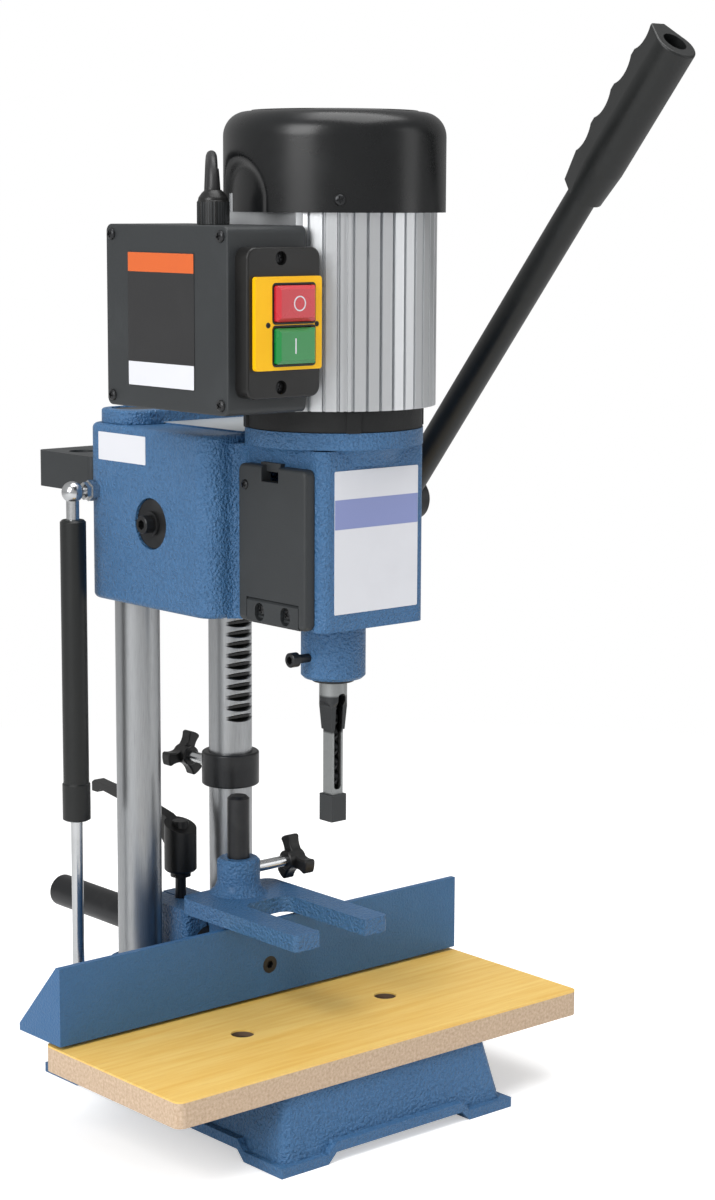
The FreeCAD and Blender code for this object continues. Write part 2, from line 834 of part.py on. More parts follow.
def throat_fillets():
    """Concave fillets from the snout to the wider column block, behind the door and opposite it."""
    pieces = []
    r = throat_fillet_r
    for side in (-1, 1):
        corner = V(side * snout_half_width, head_front_y, head_low)
        square = box(sorted((corner.x, corner.x + side * r)), (corner.y - r, corner.y),
                     (head_low, head_block_top - 6))
        round_cut = upright(r, corner.x + side * r, corner.y - r, head_low - 1, head_block_top)
        pieces.append(square.cut(round_cut))
    return pieces


def head_cavity():
    """Cored inside of the column block, open under the top cover, less its sleeves and posts."""
    x = head_half_width - head_wall
    room = rounded_box((-x, x), (head_front_y + head_wall, head_rear_y - head_wall),
                       (head_low + head_wall, head_block_top - head_roof), 5)
    between = column_x - column_sleeve_r
    mouth = rounded_box((-between, between), (tool_y + cover_front + cover_mouth,
                                              tool_y + cover_rear - cover_mouth),
                        (head_block_top - head_roof - 1, cover_low + 1), 5)
    kept = [upright(column_sleeve_r, side, column_y, head_low, cover_low + 2)
            for side in (-column_x, column_x)]
    kept.append(bar(shaft_sleeve_r, V(-head_half_width, pinion_y, pinion_z),
                    V(-head_half_width + 10 + shaft_bush_length, pinion_y, pinion_z)))
    kept += [upright(cover_post_r, px, py, cover_low - cover_screw_grip - 4, cover_low + 2)
             for px, py in cover_screw_places()]
    return union([room, mouth]).cut(kept)


def head_casting():
    block = rounded_box((-head_half_width, head_half_width), (head_front_y, head_rear_y),
                        (head_low, head_block_top), head_corner_r)
    rim = [e for e in block.Edges if abs(e.BoundBox.ZMin - head_low) < 0.1
           and abs(e.BoundBox.ZMax - head_low) < 0.1]
    block = block.makeFillet(4, rim)
    top_rim = [e for e in block.Edges if abs(e.BoundBox.ZMin - head_block_top) < 0.1
               and abs(e.BoundBox.ZMax - head_block_top) < 0.1]
    block = block.makeFillet(head_top_edge_r, top_rim)
    pad = rounded_box((-pad_half_width, pad_half_width),
                      (head_front_y + 4, tool_y + cover_front - clear),
                      (head_block_top - 1, head_block_top + machined_pad), 4)
    boss = bar(shaft_boss_r, V(head_half_width - 8, pinion_y, pinion_z),
               V(shaft_boss_end, pinion_y, pinion_z))
    whole = union([block, pad, boss] + snout_block() + throat_fillets())
    cuts = [upright(column_r + run_gap, x, column_y, head_low - 1, cover_low + 1)
            for x in (-column_x, column_x)]
    cuts.insert(0, head_cavity())
    tip_r = pitch_r + gear_module
    cuts.append(bar(tip_r + 3, V(column_x - pinion_width / 2 - 3, pinion_y, pinion_z),
                    V(column_x + pinion_width / 2 + 3, pinion_y, pinion_z)))
    bush_r = shaft_r + shaft_bush_wall
    cuts.append(bar(bush_r, V(-head_half_width + 10, pinion_y, pinion_z),
                    V(shaft_boss_end + 1, pinion_y, pinion_z)))
    cuts.append(bar(end_disc_bore_r, V(-head_half_width - 1, pinion_y, pinion_z),
                    V(-head_half_width + 10, pinion_y, pinion_z)))
    cuts.append(upright(chuck_room_r, 0, tool_y, chuck_room_low, chuck_room_high))
    cuts.append(upright(motor_shaft_r + 12, 0, tool_y, chuck_room_high - 1, snout_top + 1))
    cuts.append(rounded_slab((-snout_half_width - 1, -10),
                             (tool_y + door_opening_front, tool_y + door_opening_rear),
                             (door_opening_low, door_opening_high), 5, 0))
    cuts.append(upright(bush_flange_r - 2.5, 0, tool_y, nose_low - 1, nose_low + bush_height))
    cuts.append(upright(chisel_shank_r + 1, 0, tool_y, nose_low, chuck_room_low + 1))
    cuts.append(bar(lock_screw_r, V(lock_head_x, tool_y, lock_screw_z), V(0, tool_y, lock_screw_z)))
    cuts += [bar(pan_head_r / 2, V(-snout_half_width - 1, y, hinge_screw_z()),
                 V(-snout_half_width + hinge_screw_grip, y, hinge_screw_z()))
             for y in hinge_screw_ys()]
    cuts.append(bar(stud_r, V(-head_half_width - 1, spring_y, spring_top_z),
                    V(-head_half_width + stud_depth, spring_y, spring_top_z)))
    cuts += [upright(3, x, y, cover_low - cover_screw_grip, cover_low + 1)
             for x, y in cover_screw_places()]
    return whole.cut(cuts)


def top_cover():
    plate = rounded_box((-cover_half_width, cover_half_width),
                        (tool_y + cover_front, tool_y + cover_rear), (cover_low, cover_top), cover_corner_r)
    rim = [e for e in plate.Edges if abs(e.BoundBox.ZMin - cover_top) < 0.1]
    plate = plate.makeFillet(2, rim)
    holes = [upright(column_r + 1, x, column_y, cover_low - 1, cover_top + 1)
             for x in (-column_x, column_x)]
    for x, y in cover_screw_places():
        holes.append(upright(3 + seat_gap, x, y, cover_low - 1, cover_top + 1))
        holes.append(upright(cover_screw_head_r + seat_gap, x, y,
                             cover_top - cover_screw_head - seat_gap, cover_top + 1))
    return plate.cut(holes)


def cover_screw_places():
    front = tool_y + cover_front + cover_screw_inset
    rear = tool_y + cover_rear - cover_screw_inset
    return [(x, y) for y in (front, rear) for x in (-cover_screw_x, cover_screw_x)]


def top_cover_screws():
    seat = cover_top - cover_screw_head - seat_gap
    grip = seat - cover_low + cover_screw_grip
    return compound([socket_screw(cover_screw_head_r, cover_screw_head, 3, grip,
                                  V(x, y, cover_top - seat_gap), V(0, 0, -1))
                     for x, y in cover_screw_places()])


def nose_bush():
    low = nose_low - bush_flange_thick
    bush = turned([(chisel_shank_r + seat_gap, low), (bush_flange_r - 0.5, low),
                   (bush_flange_r, low + 0.5), (bush_flange_r, nose_low),
                   (bush_flange_r - 2.5, nose_low), (bush_flange_r - 2.5, nose_low + bush_height),
                   (chisel_shank_r + seat_gap, nose_low + bush_height)], 0, tool_y)
    return bush.cut(bar(lock_screw_r, V(lock_head_x, tool_y, lock_screw_z),
                        V(0, tool_y, lock_screw_z)))


def chisel_lock_screw():
    reach = -chisel_shank_r - lock_head_x
    return socket_screw(lock_head_r, lock_head_length, lock_screw_r, reach - lock_head_length,
                        V(lock_head_x, tool_y, lock_screw_z), RIGHT)


def square_bar(side, low, high):
    return box((-side / 2, side / 2), (tool_y - side / 2, tool_y + side / 2), (low, high))


def mortise_chisel():
    """Round shank ground down on four flats to a hollow square blade with a chip slot."""
    shank = upright(chisel_shank_r, 0, tool_y, chisel_taper_low, chisel_shank_top)
    wide = chisel_shank_r * 2 + 4
    flats_top = chisel_shank_low
    rings = []
    for z, side in ((chisel_taper_low, chisel_neck), (chisel_bend, chisel_bend_side),
                    (flats_top, wide)):
        h = side / 2
        rings.append(Part.makePolygon([V(-h, tool_y - h, z), V(h, tool_y - h, z),
                                       V(h, tool_y + h, z), V(-h, tool_y + h, z),
                                       V(-h, tool_y - h, z)]))
    taper = Part.makeLoft(rings, True, True)
    taper = taper.fuse(square_bar(wide, flats_top, chisel_shank_top))
    blade = square_bar(chisel_side, chisel_tip, chisel_taper_low + 1)
    whole = union([shank.common(taper), blade])
    slot = rounded_slab((-chip_slot_width / 2, chip_slot_width / 2),
                        (tool_y - chisel_shank_r - 1, tool_y),
                        (chip_slot_low, chip_slot_high), 2.4, 1)
    point = Part.makeCone(chisel_side * 0.69, chisel_bore_r - 0.5, 4, V(0, tool_y, chisel_tip - 0.5))
    return whole.cut([upright(chisel_bore_r, 0, tool_y, chisel_tip - 1, chisel_shank_top + 1),
                      upright(shank_bore_r, 0, tool_y, flats_top, chisel_shank_top + 1),
                      slot, point])


def chisel_cap():
    outer = rounded_box((-cap_side / 2, cap_side / 2),
                        (tool_y - cap_side / 2, tool_y + cap_side / 2), (cap_low, cap_high), 1)
    return outer.cut(square_bar(chisel_side, chisel_tip - 2, cap_high + 1))


def auger_bit():
    """Two-edged twisted ribbon under a round shank."""
    quarter = 8
    steps = int((auger_flute_top - auger_tip) / auger_pitch * quarter)
    rise = (auger_flute_top - auger_tip) / steps
    rings = []
    for i in range(steps + 1):
        turn = 2 * math.pi * i / quarter
        half = auger_core / 2
        wide = math.sqrt(auger_r ** 2 - half ** 2)
        corners = []
        for a, b in ((wide, half), (-wide, half), (-wide, -half), (wide, -half), (wide, half)):
            corners.append(V(a * math.cos(turn) - b * math.sin(turn),
                             tool_y + a * math.sin(turn) + b * math.cos(turn),
                             auger_tip + i * rise))
        rings.append(Part.makePolygon(corners))
    ribbon = Part.makeLoft(rings, True, True)
    shank = upright(auger_r, 0, tool_y, auger_flute_top, chuck_low + 20)
    return ribbon.fuse(shank)


def drill_chuck():
    body = turned([(auger_r, chuck_low - 14), (chuck_nose_r, chuck_low - 14),
                   (chuck_nose_r + 1, chuck_low - 8), (chuck_r - 3, chuck_low),
                   (chuck_r, chuck_low + 2), (chuck_r, chuck_low + 30),
                   (chuck_r - 1.5, chuck_low + 31), (chuck_r - 1.5, chuck_high),
                   (motor_shaft_r, chuck_high), (motor_shaft_r, chuck_high - chuck_socket),
                   (auger_r, chuck_high - chuck_socket)], 0, tool_y)
    key_holes = []
    for i in range(3):
        hole = bar(3, V(chuck_r - 8, tool_y, chuck_low + 35), V(chuck_r + 1, tool_y, chuck_low + 35))
        hole.rotate(V(0, tool_y, 0), UP, 120 * i + 60)
        key_holes.append(hole)
    return body.cut(key_holes)


# ---- chuck door ----
def door_pin():
    """Where the hinge pin's axis crosses the door, as x and z."""
    return -snout_half_width - clear - door_thick / 2, door_low + door_thick / 2


def chuck_door():
    """Drop-down cover; its two lower ears turn on a pin through the fixed hinge block."""
    outer = -snout_half_width - clear - door_thick
    inner = -snout_half_width - clear
    front = tool_y + door_front
    rear = tool_y + door_rear
    pin_x, pin_z = door_pin()
    plate = rounded_slab((outer, inner), (front, rear), (door_low, door_top), door_corner_r, 0)
    rim = [e for e in plate.Edges if e.BoundBox.XMax < outer + 0.01]
    plate = plate.makeFillet(door_edge_r, rim)
    heel = box((outer - 1, inner + 1), (front - 1, rear + 1), (door_low - 1, pin_z))
    heel = heel.cut(bar(door_thick / 2, V(pin_x, front - 2, pin_z), V(pin_x, rear + 2, pin_z)))
    catch = box((inner - catch_thick, inner),
                (tool_y + notch_front + 3, tool_y + notch_rear + catch_overlap),
                (door_top - 4, door_top + catch_rise))
    gap = 0.5
    window = box((outer - 1, inner + 1), (tool_y + hinge_front - gap, tool_y + hinge_rear + gap),
                 (door_low - door_thick, hinge_top + gap))
    notch = box((outer - 1, inner + 1), (tool_y + notch_front, tool_y + notch_rear),
                (door_top - notch_depth, door_top + 1))
    door = union([plate.cut([heel, window, notch]), catch])
    pin = bar(door_pin_r, V(pin_x, front + 3, pin_z), V(pin_x, rear - 3, pin_z))
    return union([door, pin])


def door_hinge_block():
    outer = -snout_half_width - clear - door_thick
    pin_x, pin_z = door_pin()
    block = box((outer, -snout_half_width), (tool_y + hinge_front, tool_y + hinge_rear),
                (door_low, hinge_top))
    outside = [e for e in block.Edges if e.BoundBox.XMax < outer + 0.1
               and e.BoundBox.YLength > 1]
    block = block.makeChamfer(1.6, outside)
    pin_hole = bar(door_pin_r + run_gap, V(pin_x, tool_y + hinge_front - 1, pin_z),
                   V(pin_x, tool_y + hinge_rear + 1, pin_z))
    z = hinge_screw_z()
    holes = [bar(pan_head_r / 2, V(outer - 1, y, z), V(-snout_half_width + 1, y, z))
             for y in hinge_screw_ys()]
    sinks = []
    for y in hinge_screw_ys():
        sinks.append(bar(hinge_sink_r, V(outer - 1, y, z), V(outer + hinge_sink_depth, y, z)))
        sinks.append(bar(hinge_sink_r, V(outer - 1, y, z - 2.4),
                         V(outer + hinge_sink_depth, y, z - 2.4)))
    return block.cut([pin_hole] + holes + sinks)


def hinge_screw_z():
    return (door_low + hinge_top) / 2 + 0.9


def hinge_screw_ys():
    middle = tool_y + (hinge_front + hinge_rear) / 2
    return [middle - hinge_screw_spacing / 2, middle + hinge_screw_spacing / 2]


def hinge_screws():
    floor_x = -snout_half_width - clear - door_thick + hinge_sink_depth
    grip = -snout_half_width - floor_x + hinge_screw_grip
    return compound([pan_screw(V(floor_x, y, hinge_screw_z()), RIGHT, grip)
                     for y in hinge_screw_ys()])


# ---- feed shaft and lever ----
def involute(angle):
    return math.tan(angle) - angle


def pinion_wheel():
    """Spur wheel in mesh with the rack: a tooth points straight at the column at rest."""
    base_r = pitch_r * math.cos(pressure_angle)
    root_r = pitch_r - 1.25 * gear_module
    tip_r = pitch_r + gear_module
    half_pitch = math.pi / (2 * pinion_teeth) - backlash / 2 / pitch_r
    flank = [(root_r, half_pitch + involute(pressure_angle))]
    for i in range(4):
        r = base_r + (tip_r - base_r) * (0.06 + 0.94 * i / 3)
        flank.append((r, half_pitch + involute(pressure_angle) - involute(math.acos(base_r / r))))
    points = []
    for tooth in range(pinion_teeth):
        middle = 2 * math.pi * tooth / pinion_teeth
        side_a = [(r, middle - a) for r, a in flank]
        side_b = [(r, middle + a) for r, a in reversed(flank)]
        for r, a in side_a + side_b:
            points.append(V(column_x - pinion_width / 2, pinion_y + r * math.cos(a),
                            pinion_z + r * math.sin(a)))
    wheel = prism(points, V(pinion_width, 0, 0))
    rim_r = root_r - 6
    cuts = []
    for start in (column_x - pinion_width / 2 - 1, column_x + pinion_width / 2 - 4):
        outer = bar(rim_r, V(start, pinion_y, pinion_z), V(start + 5, pinion_y, pinion_z))
        inner = bar(pinion_hub_r, V(start, pinion_y, pinion_z), V(start + 5, pinion_y, pinion_z))
        cuts.append(outer.cut(inner))
    return wheel.cut(cuts)


def pinion_shaft():
    """Feed shaft with its wheel, bored across for the lever and tapped for the end bolt."""
    left = -head_half_width + end_disc_recess + end_disc_thick
    shaft = bar(shaft_r, V(left, pinion_y, pinion_z), V(hub_end - 4, pinion_y, pinion_z))
    cross_hole = bar(lever_r * 0.7, V(lever_x, pinion_y, pinion_z).sub(lever_axis * 14),
                     V(lever_x, pinion_y, pinion_z).add(lever_axis * 14))
    bolt_hole = bar(4, V(left - 1, pinion_y, pinion_z), V(left + 20, pinion_y, pinion_z))
    return shaft.fuse(pinion_wheel()).cut([cross_hole, bolt_hole])


def shaft_bushes():
    pieces = []
    for start in (-head_half_width + 10, shaft_boss_end - shaft_bush_length):
        outer = bar(shaft_r + shaft_bush_wall, V(start, pinion_y, pinion_z),
                    V(start + shaft_bush_length, pinion_y, pinion_z))
        inner = bar(shaft_r + run_gap, V(start - 1, pinion_y, pinion_z),
                    V(start + shaft_bush_length + 1, pinion_y, pinion_z))
        pieces.append(outer.cut(inner))
    return compound(pieces)


def end_disc():
    face = -head_half_width + end_disc_recess
    disc = bar(end_disc_r, V(face, pinion_y, pinion_z), V(face + end_disc_thick, pinion_y, pinion_z))
    return disc.cut(bar(4, V(face - 1, pinion_y, pinion_z), V(face + 9, pinion_y, pinion_z)))


def end_bolt():
    face = -head_half_width + end_disc_recess
    washer = bar(8.5, V(face - 2, pinion_y, pinion_z), V(face, pinion_y, pinion_z))
    screw = socket_screw(6.2, 7.5, 4, 20, V(face - 9.5, pinion_y, pinion_z), RIGHT)
    return screw.fuse(washer)


def lever_hub():
    length = hub_end - hub_start
    hub = turned([(0, 0), (hub_r - 1.5, 0), (hub_r, 1.5), (hub_r, length - 2),
                  (hub_r - 2, length), (0, length)], 0, 0)
    hub = lay_along(hub, V(hub_start, pinion_y, pinion_z), RIGHT)
    centre = V(lever_x, pinion_y, pinion_z)
    return hub.cut([bar(shaft_r, V(hub_start - 1, pinion_y, pinion_z),
                        V(hub_end - 4, pinion_y, pinion_z)),
                    bar(lever_r, centre.add(lever_axis * (shaft_r - 1)),
                        centre.add(lever_axis * 30))])


def lever_tube():
    centre = V(lever_x, pinion_y, pinion_z)
    tube = bar(lever_r, centre.add(lever_axis * (shaft_r - 1)),
               centre.add(lever_axis * (lever_length - grip_hole_depth)))
    bore = bar(lever_r - lever_wall, centre.add(lever_axis * (shaft_r + 6)),
               centre.add(lever_axis * lever_length))
    return tube.cut([bar(shaft_r, V(hub_start, pinion_y, pinion_z), V(hub_end, pinion_y, pinion_z)),
                     bore])


def grip_section(z, half_low, half_high):
    """Outline of the grip across its length: narrow along the finger edge, round along the other."""
    half = grip_width / 2
    edge = grip_edge_width / 2
    curve = Part.Wire([
        Part.makeLine(V(-edge, half_high, z), V(edge, half_high, z)),
        Part.makeLine(V(edge, half_high, z), V(half, half_high - grip_shoulder, z)),
        Part.Arc(V(half, half_high - grip_shoulder, z), V(0, -half_low, z),
                 V(-half, half_high - grip_shoulder, z)).toShape(),
        Part.makeLine(V(-half, half_high - grip_shoulder, z), V(-edge, half_high, z))])
    return curve


def lever_grip():
    """Moulded grip with finger scallops along the edge that faces the head, open at the end."""
    body = Part.makeLoft([grip_section(grip_foot_length, grip_heel, grip_finger_side),
                          grip_section(grip_length, grip_heel, grip_finger_side)], True, True)
    foot = Part.makeLoft([grip_section(0, grip_heel - 2, grip_finger_side - 5),
                          grip_section(grip_foot_length, grip_heel, grip_finger_side)], True, True)
    grip = union([foot, body])
    ends = [e for e in grip.Edges if e.BoundBox.ZMin > grip_length - 0.01]
    grip = grip.makeFillet(1.6, ends)
    pitch = (grip_length - 14) / grip_scallops
    for i in range(grip_scallops):
        z = 18 + pitch * (i + 0.5)
        centre = grip_finger_side + grip_scallop_r - grip_scallop_depth
        grip = grip.cut(bar(grip_scallop_r, V(-grip_width, centre, z), V(grip_width, centre, z)))
    socket = Part.makeCylinder(lever_r, grip_length - grip_hole_depth + 1, V(0, 0, -1))
    mouth = Part.makeCylinder(grip_hole_r, grip_hole_depth + 1, V(0, 0, grip_length - grip_hole_depth))
    grip = grip.cut([socket, mouth])
    turn = FreeCAD.Rotation(RIGHT, math.degrees(lever_angle))
    foot_point = V(lever_x, pinion_y, pinion_z).add(lever_axis * (lever_length - grip_length))
    grip.Placement = FreeCAD.Placement(foot_point, turn)
    return grip


# ---- motor ----
def motor_flange():
    disc = upright(motor_flange_r, 0, tool_y, snout_top, motor_flange_top)
    lugs = []
    for i in range(4):
        angle = math.radians(-90 - flange_lug_angle + 90 * i)
        lug = Part.makeBox(flange_lug_root + flange_lug_proud, flange_lug_width,
                           motor_flange_top - snout_top - 1,
                           V(motor_flange_r - flange_lug_root, -flange_lug_width / 2, snout_top))
        lug.rotate(V(0, 0, 0), UP, math.degrees(angle))
        lugs.append(lug.translated(V(0, tool_y, 0)))
    whole = union([disc] + lugs)
    shaft_hole = upright(motor_shaft_r + 2, 0, tool_y, snout_top - 1, motor_flange_top + 1)
    return whole.cut(shaft_hole)


def motor_housing():
    """Extruded aluminium barrel with cooling fins and a flat pad for the junction box."""
    points = []
    pitch = 2 * math.pi / fin_count
    for i in range(fin_count):
        middle = pitch * i + math.radians(-flange_lug_angle)
        tip = fin_tip / 2 / motor_r
        root = fin_root / 2 / motor_root_r
        for r, a in ((motor_root_r, middle - root), (motor_r, middle - tip),
                     (motor_r, middle + tip), (motor_root_r, middle + root)):
            points.append(V(r * math.cos(a), tool_y + r * math.sin(a), motor_flange_top))
    fins = prism(points, V(0, 0, motor_top - motor_flange_top)).cut(fin_slots())
    pad = box((-pad_x, 0), (tool_y - pad_half, tool_y + pad_half), (motor_flange_top, motor_top))
    beyond = box((-motor_r - 5, -pad_x), (tool_y - pad_half, tool_y + pad_half),
                 (motor_flange_top - 1, motor_top + 1))
    whole = union([fins, pad]).cut(beyond)
    whole = union([whole, cap_spigot()])
    bore_r = motor_root_r - motor_wall
    inside = upright(bore_r, 0, tool_y, motor_flange_top + end_shield, motor_top - end_shield)
    shaft_hole = upright(motor_shaft_r + 1, 0, tool_y, motor_flange_top - 1, motor_top + 1)
    seats = [upright(bearing_r, 0, tool_y, motor_flange_top + 3, motor_flange_top + end_shield + 3),
             upright(bearing_r, 0, tool_y, motor_top - end_shield - 3, motor_top - 3)]
    threads = [bar(pan_head_r / 2, point, point + inward * cap_screw_grip)
               for point, inward in cap_screw_places()]
    return whole.cut([inside, shaft_hole] + seats + threads)


def fin_slots():
    """One wider slot between two fins beside each flange lug."""
    slots = []
    for i in range(4):
        slot = box((motor_root_r, motor_r + 1), (-fin_slot_width / 2, fin_slot_width / 2),
                   (motor_flange_top - 1, motor_top + 1))
        slot.rotate(V(0, 0, 0), UP, -90 - flange_lug_angle - fin_slot_turn + 90 * i)
        slots.append(slot.translated(V(0, tool_y, 0)))
    return slots


def cap_spigot():
    """Ring on the barrel's end that the cap slips over and is screwed to."""
    outer = cap_form(cap_r - cap_wall, motor_top + spigot_height, 0,
                     cap_flat_x - cap_wall, cap_arch_r + cap_wall)
    return outer.cut(upright(cap_r - cap_wall - spigot_wall, 0, tool_y,
                             motor_top - 1, motor_top + spigot_height + 1))


def motor_bearings():
    rings = []
    for low in (motor_flange_top + 3, motor_top - 3 - bearing_height):
        ring = upright(bearing_r, 0, tool_y, low, low + bearing_height)
        rings.append(ring.cut(upright(motor_shaft_r + run_gap, 0, tool_y, low - 1,
                                      low + bearing_height + 1)))
    return compound(rings)


def stator():
    outer = upright(motor_root_r - motor_wall, 0, tool_y, stator_low, stator_high)
    return outer.cut(upright(stator_inner_r, 0, tool_y, stator_low - 1, stator_high + 1))


def rotor_shaft():
    low = chuck_high - chuck_socket
    shaft = turned([(0, low), (motor_shaft_r, low), (motor_shaft_r, stator_low - 1),
                    (rotor_r, stator_low - 1), (rotor_r, stator_high + 1),
                    (motor_shaft_r, stator_high + 1), (motor_shaft_r, fan_low + fan_height),
                    (0, fan_low + fan_height)], 0, tool_y)
    return shaft


def cooling_fan():
    hub = upright(fan_hub_r, 0, tool_y, fan_low, fan_low + fan_height)
    disc = upright(fan_r, 0, tool_y, fan_low, fan_low + 2)
    blades = []
    for i in range(fan_blades):
        blade = box((fan_hub_r - 1, fan_r), (tool_y - 1, tool_y + 1), (fan_low + 1, fan_low + fan_height))
        blade.rotate(V(0, tool_y, 0), UP, 360 / fan_blades * i)
        blades.append(blade)
    whole = union([hub, disc] + blades)
    return whole.cut(upright(motor_shaft_r, 0, tool_y, fan_low - 1, fan_low + fan_height + 1))


def cap_form(radius, top, edge, flat_x, arch_r):
    """Round drum, flattened on the left by an arch that clears the junction box."""
    form = upright(radius, 0, tool_y, motor_top, top)
    if edge:
        rim = [e for e in form.Edges if abs(e.BoundBox.ZMin - top) < 0.01]
        form = form.makeFillet(edge, rim)
    slab = box((-radius - 5, -flat_x), (tool_y - arch_r, tool_y + arch_r), (motor_top - 5, cap_arch_z))
    arch = bar(arch_r, V(-radius - 5, tool_y, cap_arch_z), V(-flat_x, tool_y, cap_arch_z))
    return form.cut(slab.fuse(arch))


def motor_cap():
    outer = cap_form(cap_r, cap_top, cap_edge_r, cap_flat_x, cap_arch_r)
    inner = cap_form(cap_r - cap_wall, cap_top - cap_wall, cap_edge_r - cap_wall,
                     cap_flat_x - cap_wall, cap_arch_r + cap_wall)
    cuts = [inner]
    for i in range(vent_slots):
        slot = rounded_slab((vent_inner_r, vent_outer_r),
                            (tool_y - vent_width / 2, tool_y + vent_width / 2),
                            (cap_top - cap_wall - 1, cap_top + 1), 2, 2)
        slot.rotate(V(0, tool_y, 0), UP, 360 / vent_slots * i)
        cuts.append(slot)
    for point, inward in cap_screw_places():
        cuts.append(bar(pan_head_r / 2 + seat_gap, point - inward * 3, point + inward * 9))
    return outer.cut(cuts)


def cap_screw_places():
    """Screws round the foot of the motor cap, as a point and its inward direction."""
    places = []
    for degrees in (-128, -8, 112):
        angle = math.radians(degrees)
        outward = V(math.cos(angle), math.sin(angle), 0)
        places.append((V(0, tool_y, motor_top + cap_screw_lift).add(outward * cap_r), outward * -1))
    return places


# ---- junction box and switch ----
def box_right():
    return -pad_x


def junction_box():
    y = (tool_y + box_front, tool_y + box_rear)
    outer = rounded_slab((box_left + lid_thick, box_right()), y, (box_low, box_high), box_edge_r, 0)
    inner = rounded_slab((box_left + lid_thick - 1, box_right() - box_wall),
                         (y[0] + box_wall, y[1] - box_wall),
                         (box_low + box_wall, box_high - box_wall), 3, 0)
    posts = [bar(5, V(box_left + lid_thick, py, pz), V(box_right() - 1, py, pz))
             for py, pz in lid_screw_places()]
    posts = [post.common(outer) for post in posts]
    shell = union([outer.cut(inner)] + posts)
    cuts = [bar(pan_head_r / 2, V(box_left, py, pz), V(box_left + 20, py, pz))
            for py, pz in lid_screw_places()]
    cuts.append(upright(gland_r - 3, gland_x, tool_y + gland_y, box_high - box_wall - 1, box_high + 1))
    cuts.append(box((switch_left + 8, switch_right - 8),
                    (y[0] - 1, y[0] + box_wall + 1), (switch_low + 8, switch_high - 8)))
    return shell.cut(cuts)


def lid_screw_places():
    i = lid_screw_inset
    return [(y, z) for y in (tool_y + box_front + i, tool_y + box_rear - i)
            for z in (box_low + i, box_high - i)]


def box_lid():
    lid = rounded_slab((box_left, box_left + lid_thick), (tool_y + box_front, tool_y + box_rear),
                       (box_low, box_high), box_edge_r, 0)
    rim = [e for e in lid.Edges if abs(e.BoundBox.XMax - box_left) < 0.01]
    lid = lid.makeFillet(1.2, rim)
    return lid.cut([bar(pan_head_r / 2, V(box_left - 1, y, z), V(box_left + 9, y, z))
                    for y, z in lid_screw_places()])


def cover_screws():
    """The same small screw holds the box lid and the motor cap."""
    screws = [pan_screw(V(box_left, y, z), RIGHT, 14) for y, z in lid_screw_places()]
    screws += [pan_screw(point, inward, cap_screw_grip) for point, inward in cap_screw_places()]
    return compound(screws)


def start_capacitor():
    x = box_left + lid_thick + 22
    z = box_low + 34
    return bar(17, V(x, tool_y + 18, z), V(x, tool_y + box_rear - box_wall, z))


def cable_gland():
    y = tool_y + gland_y
    nut = hexagon(gland_r * 2 * math.cos(math.radians(30)), gland_hex_height,
                  V(gland_x, y, box_high), UP)
    round_part = upright(gland_r - 0.6, gland_x, y, box_high, box_high + gland_hex_height)
    top = box_high + gland_hex_height
    dome = turned([(0, top - 1), (gland_r - 1, top - 1), (gland_r - 1.4, top + 2),
                   (gland_r - 3.5, top + 5), (lead_r + 2, top + gland_dome_height),
                   (0, top + gland_dome_height)], gland_x, y)
    thread = upright(gland_r - 3, gland_x, y, box_high - 12, box_high + 1)
    whole = union([nut.common(upright(gland_r, gland_x, y, box_high, top)), round_part, dome, thread])
    return whole.cut(upright(lead_r, gland_x, y, box_high - 13, top + gland_dome_height + 1))


def switch_front():
    return tool_y + box_front - switch_depth


def button_well(low, margin, depth):
    front = switch_front() - bezel_thick
    return box((button_left - margin, button_right + margin), (front - 1, front + depth),
               (low - margin, low + button_height + margin))


def switch_housing():
    y = (switch_front(), tool_y + box_front)
    shell = rounded_slab((switch_left, switch_right), y, (switch_low, switch_high),
                         switch_corner_r, 1)
    rim = [e for e in shell.Edges if abs(e.BoundBox.YMax - y[0]) < 0.01]
    shell = shell.makeFillet(1.5, rim)
    inset = switch_block_inset
    rear_block = box((switch_left + inset, switch_right - inset),
                     (y[1] - 1, y[1] + switch_block_depth),
                     (switch_low + inset, switch_high - inset))
    cuts = [button_well(low, button_gap, bezel_thick + button_travel + button_depth)
            for low in (stop_low, start_low)]
    for z in switch_mount_zs():
        cuts.append(bar(switch_mount_r, V(switch_mount_x, y[0] - 1, z),
                        V(switch_mount_x, y[0] + 4, z)))
    return shell.fuse(rear_block).cut(cuts)


def switch_mount_zs():
    return (switch_low + switch_mount_inset, switch_high - switch_mount_inset)


def switch_bezel():
    y = (switch_front() - bezel_thick, switch_front())
    plate = rounded_slab((bezel_left, bezel_right), y, (bezel_low, bezel_high), 2, 1)
    cuts = [button_well(low, button_gap, bezel_thick + 1) for low in (stop_low, start_low)]
    return plate.cut(cuts)


def switch_screws():
    """Two recessed mounting screws and two small ones that hold the coloured front plate."""
    face = switch_front() - bezel_thick
    middle = (stop_low + start_low + button_height) / 2
    screws = []
    for z in switch_mount_zs():
        y = switch_front() + 4
        screws.append(bar(switch_mount_r - 0.8, V(switch_mount_x, y - 2, z),
                          V(switch_mount_x, y, z)))
    for x in (button_left - 5, button_right + bezel_screw_r + 0.8):
        screws.append(bar(bezel_screw_r, V(x, face - 0.8, middle), V(x, face, middle)))
    return compound(screws)


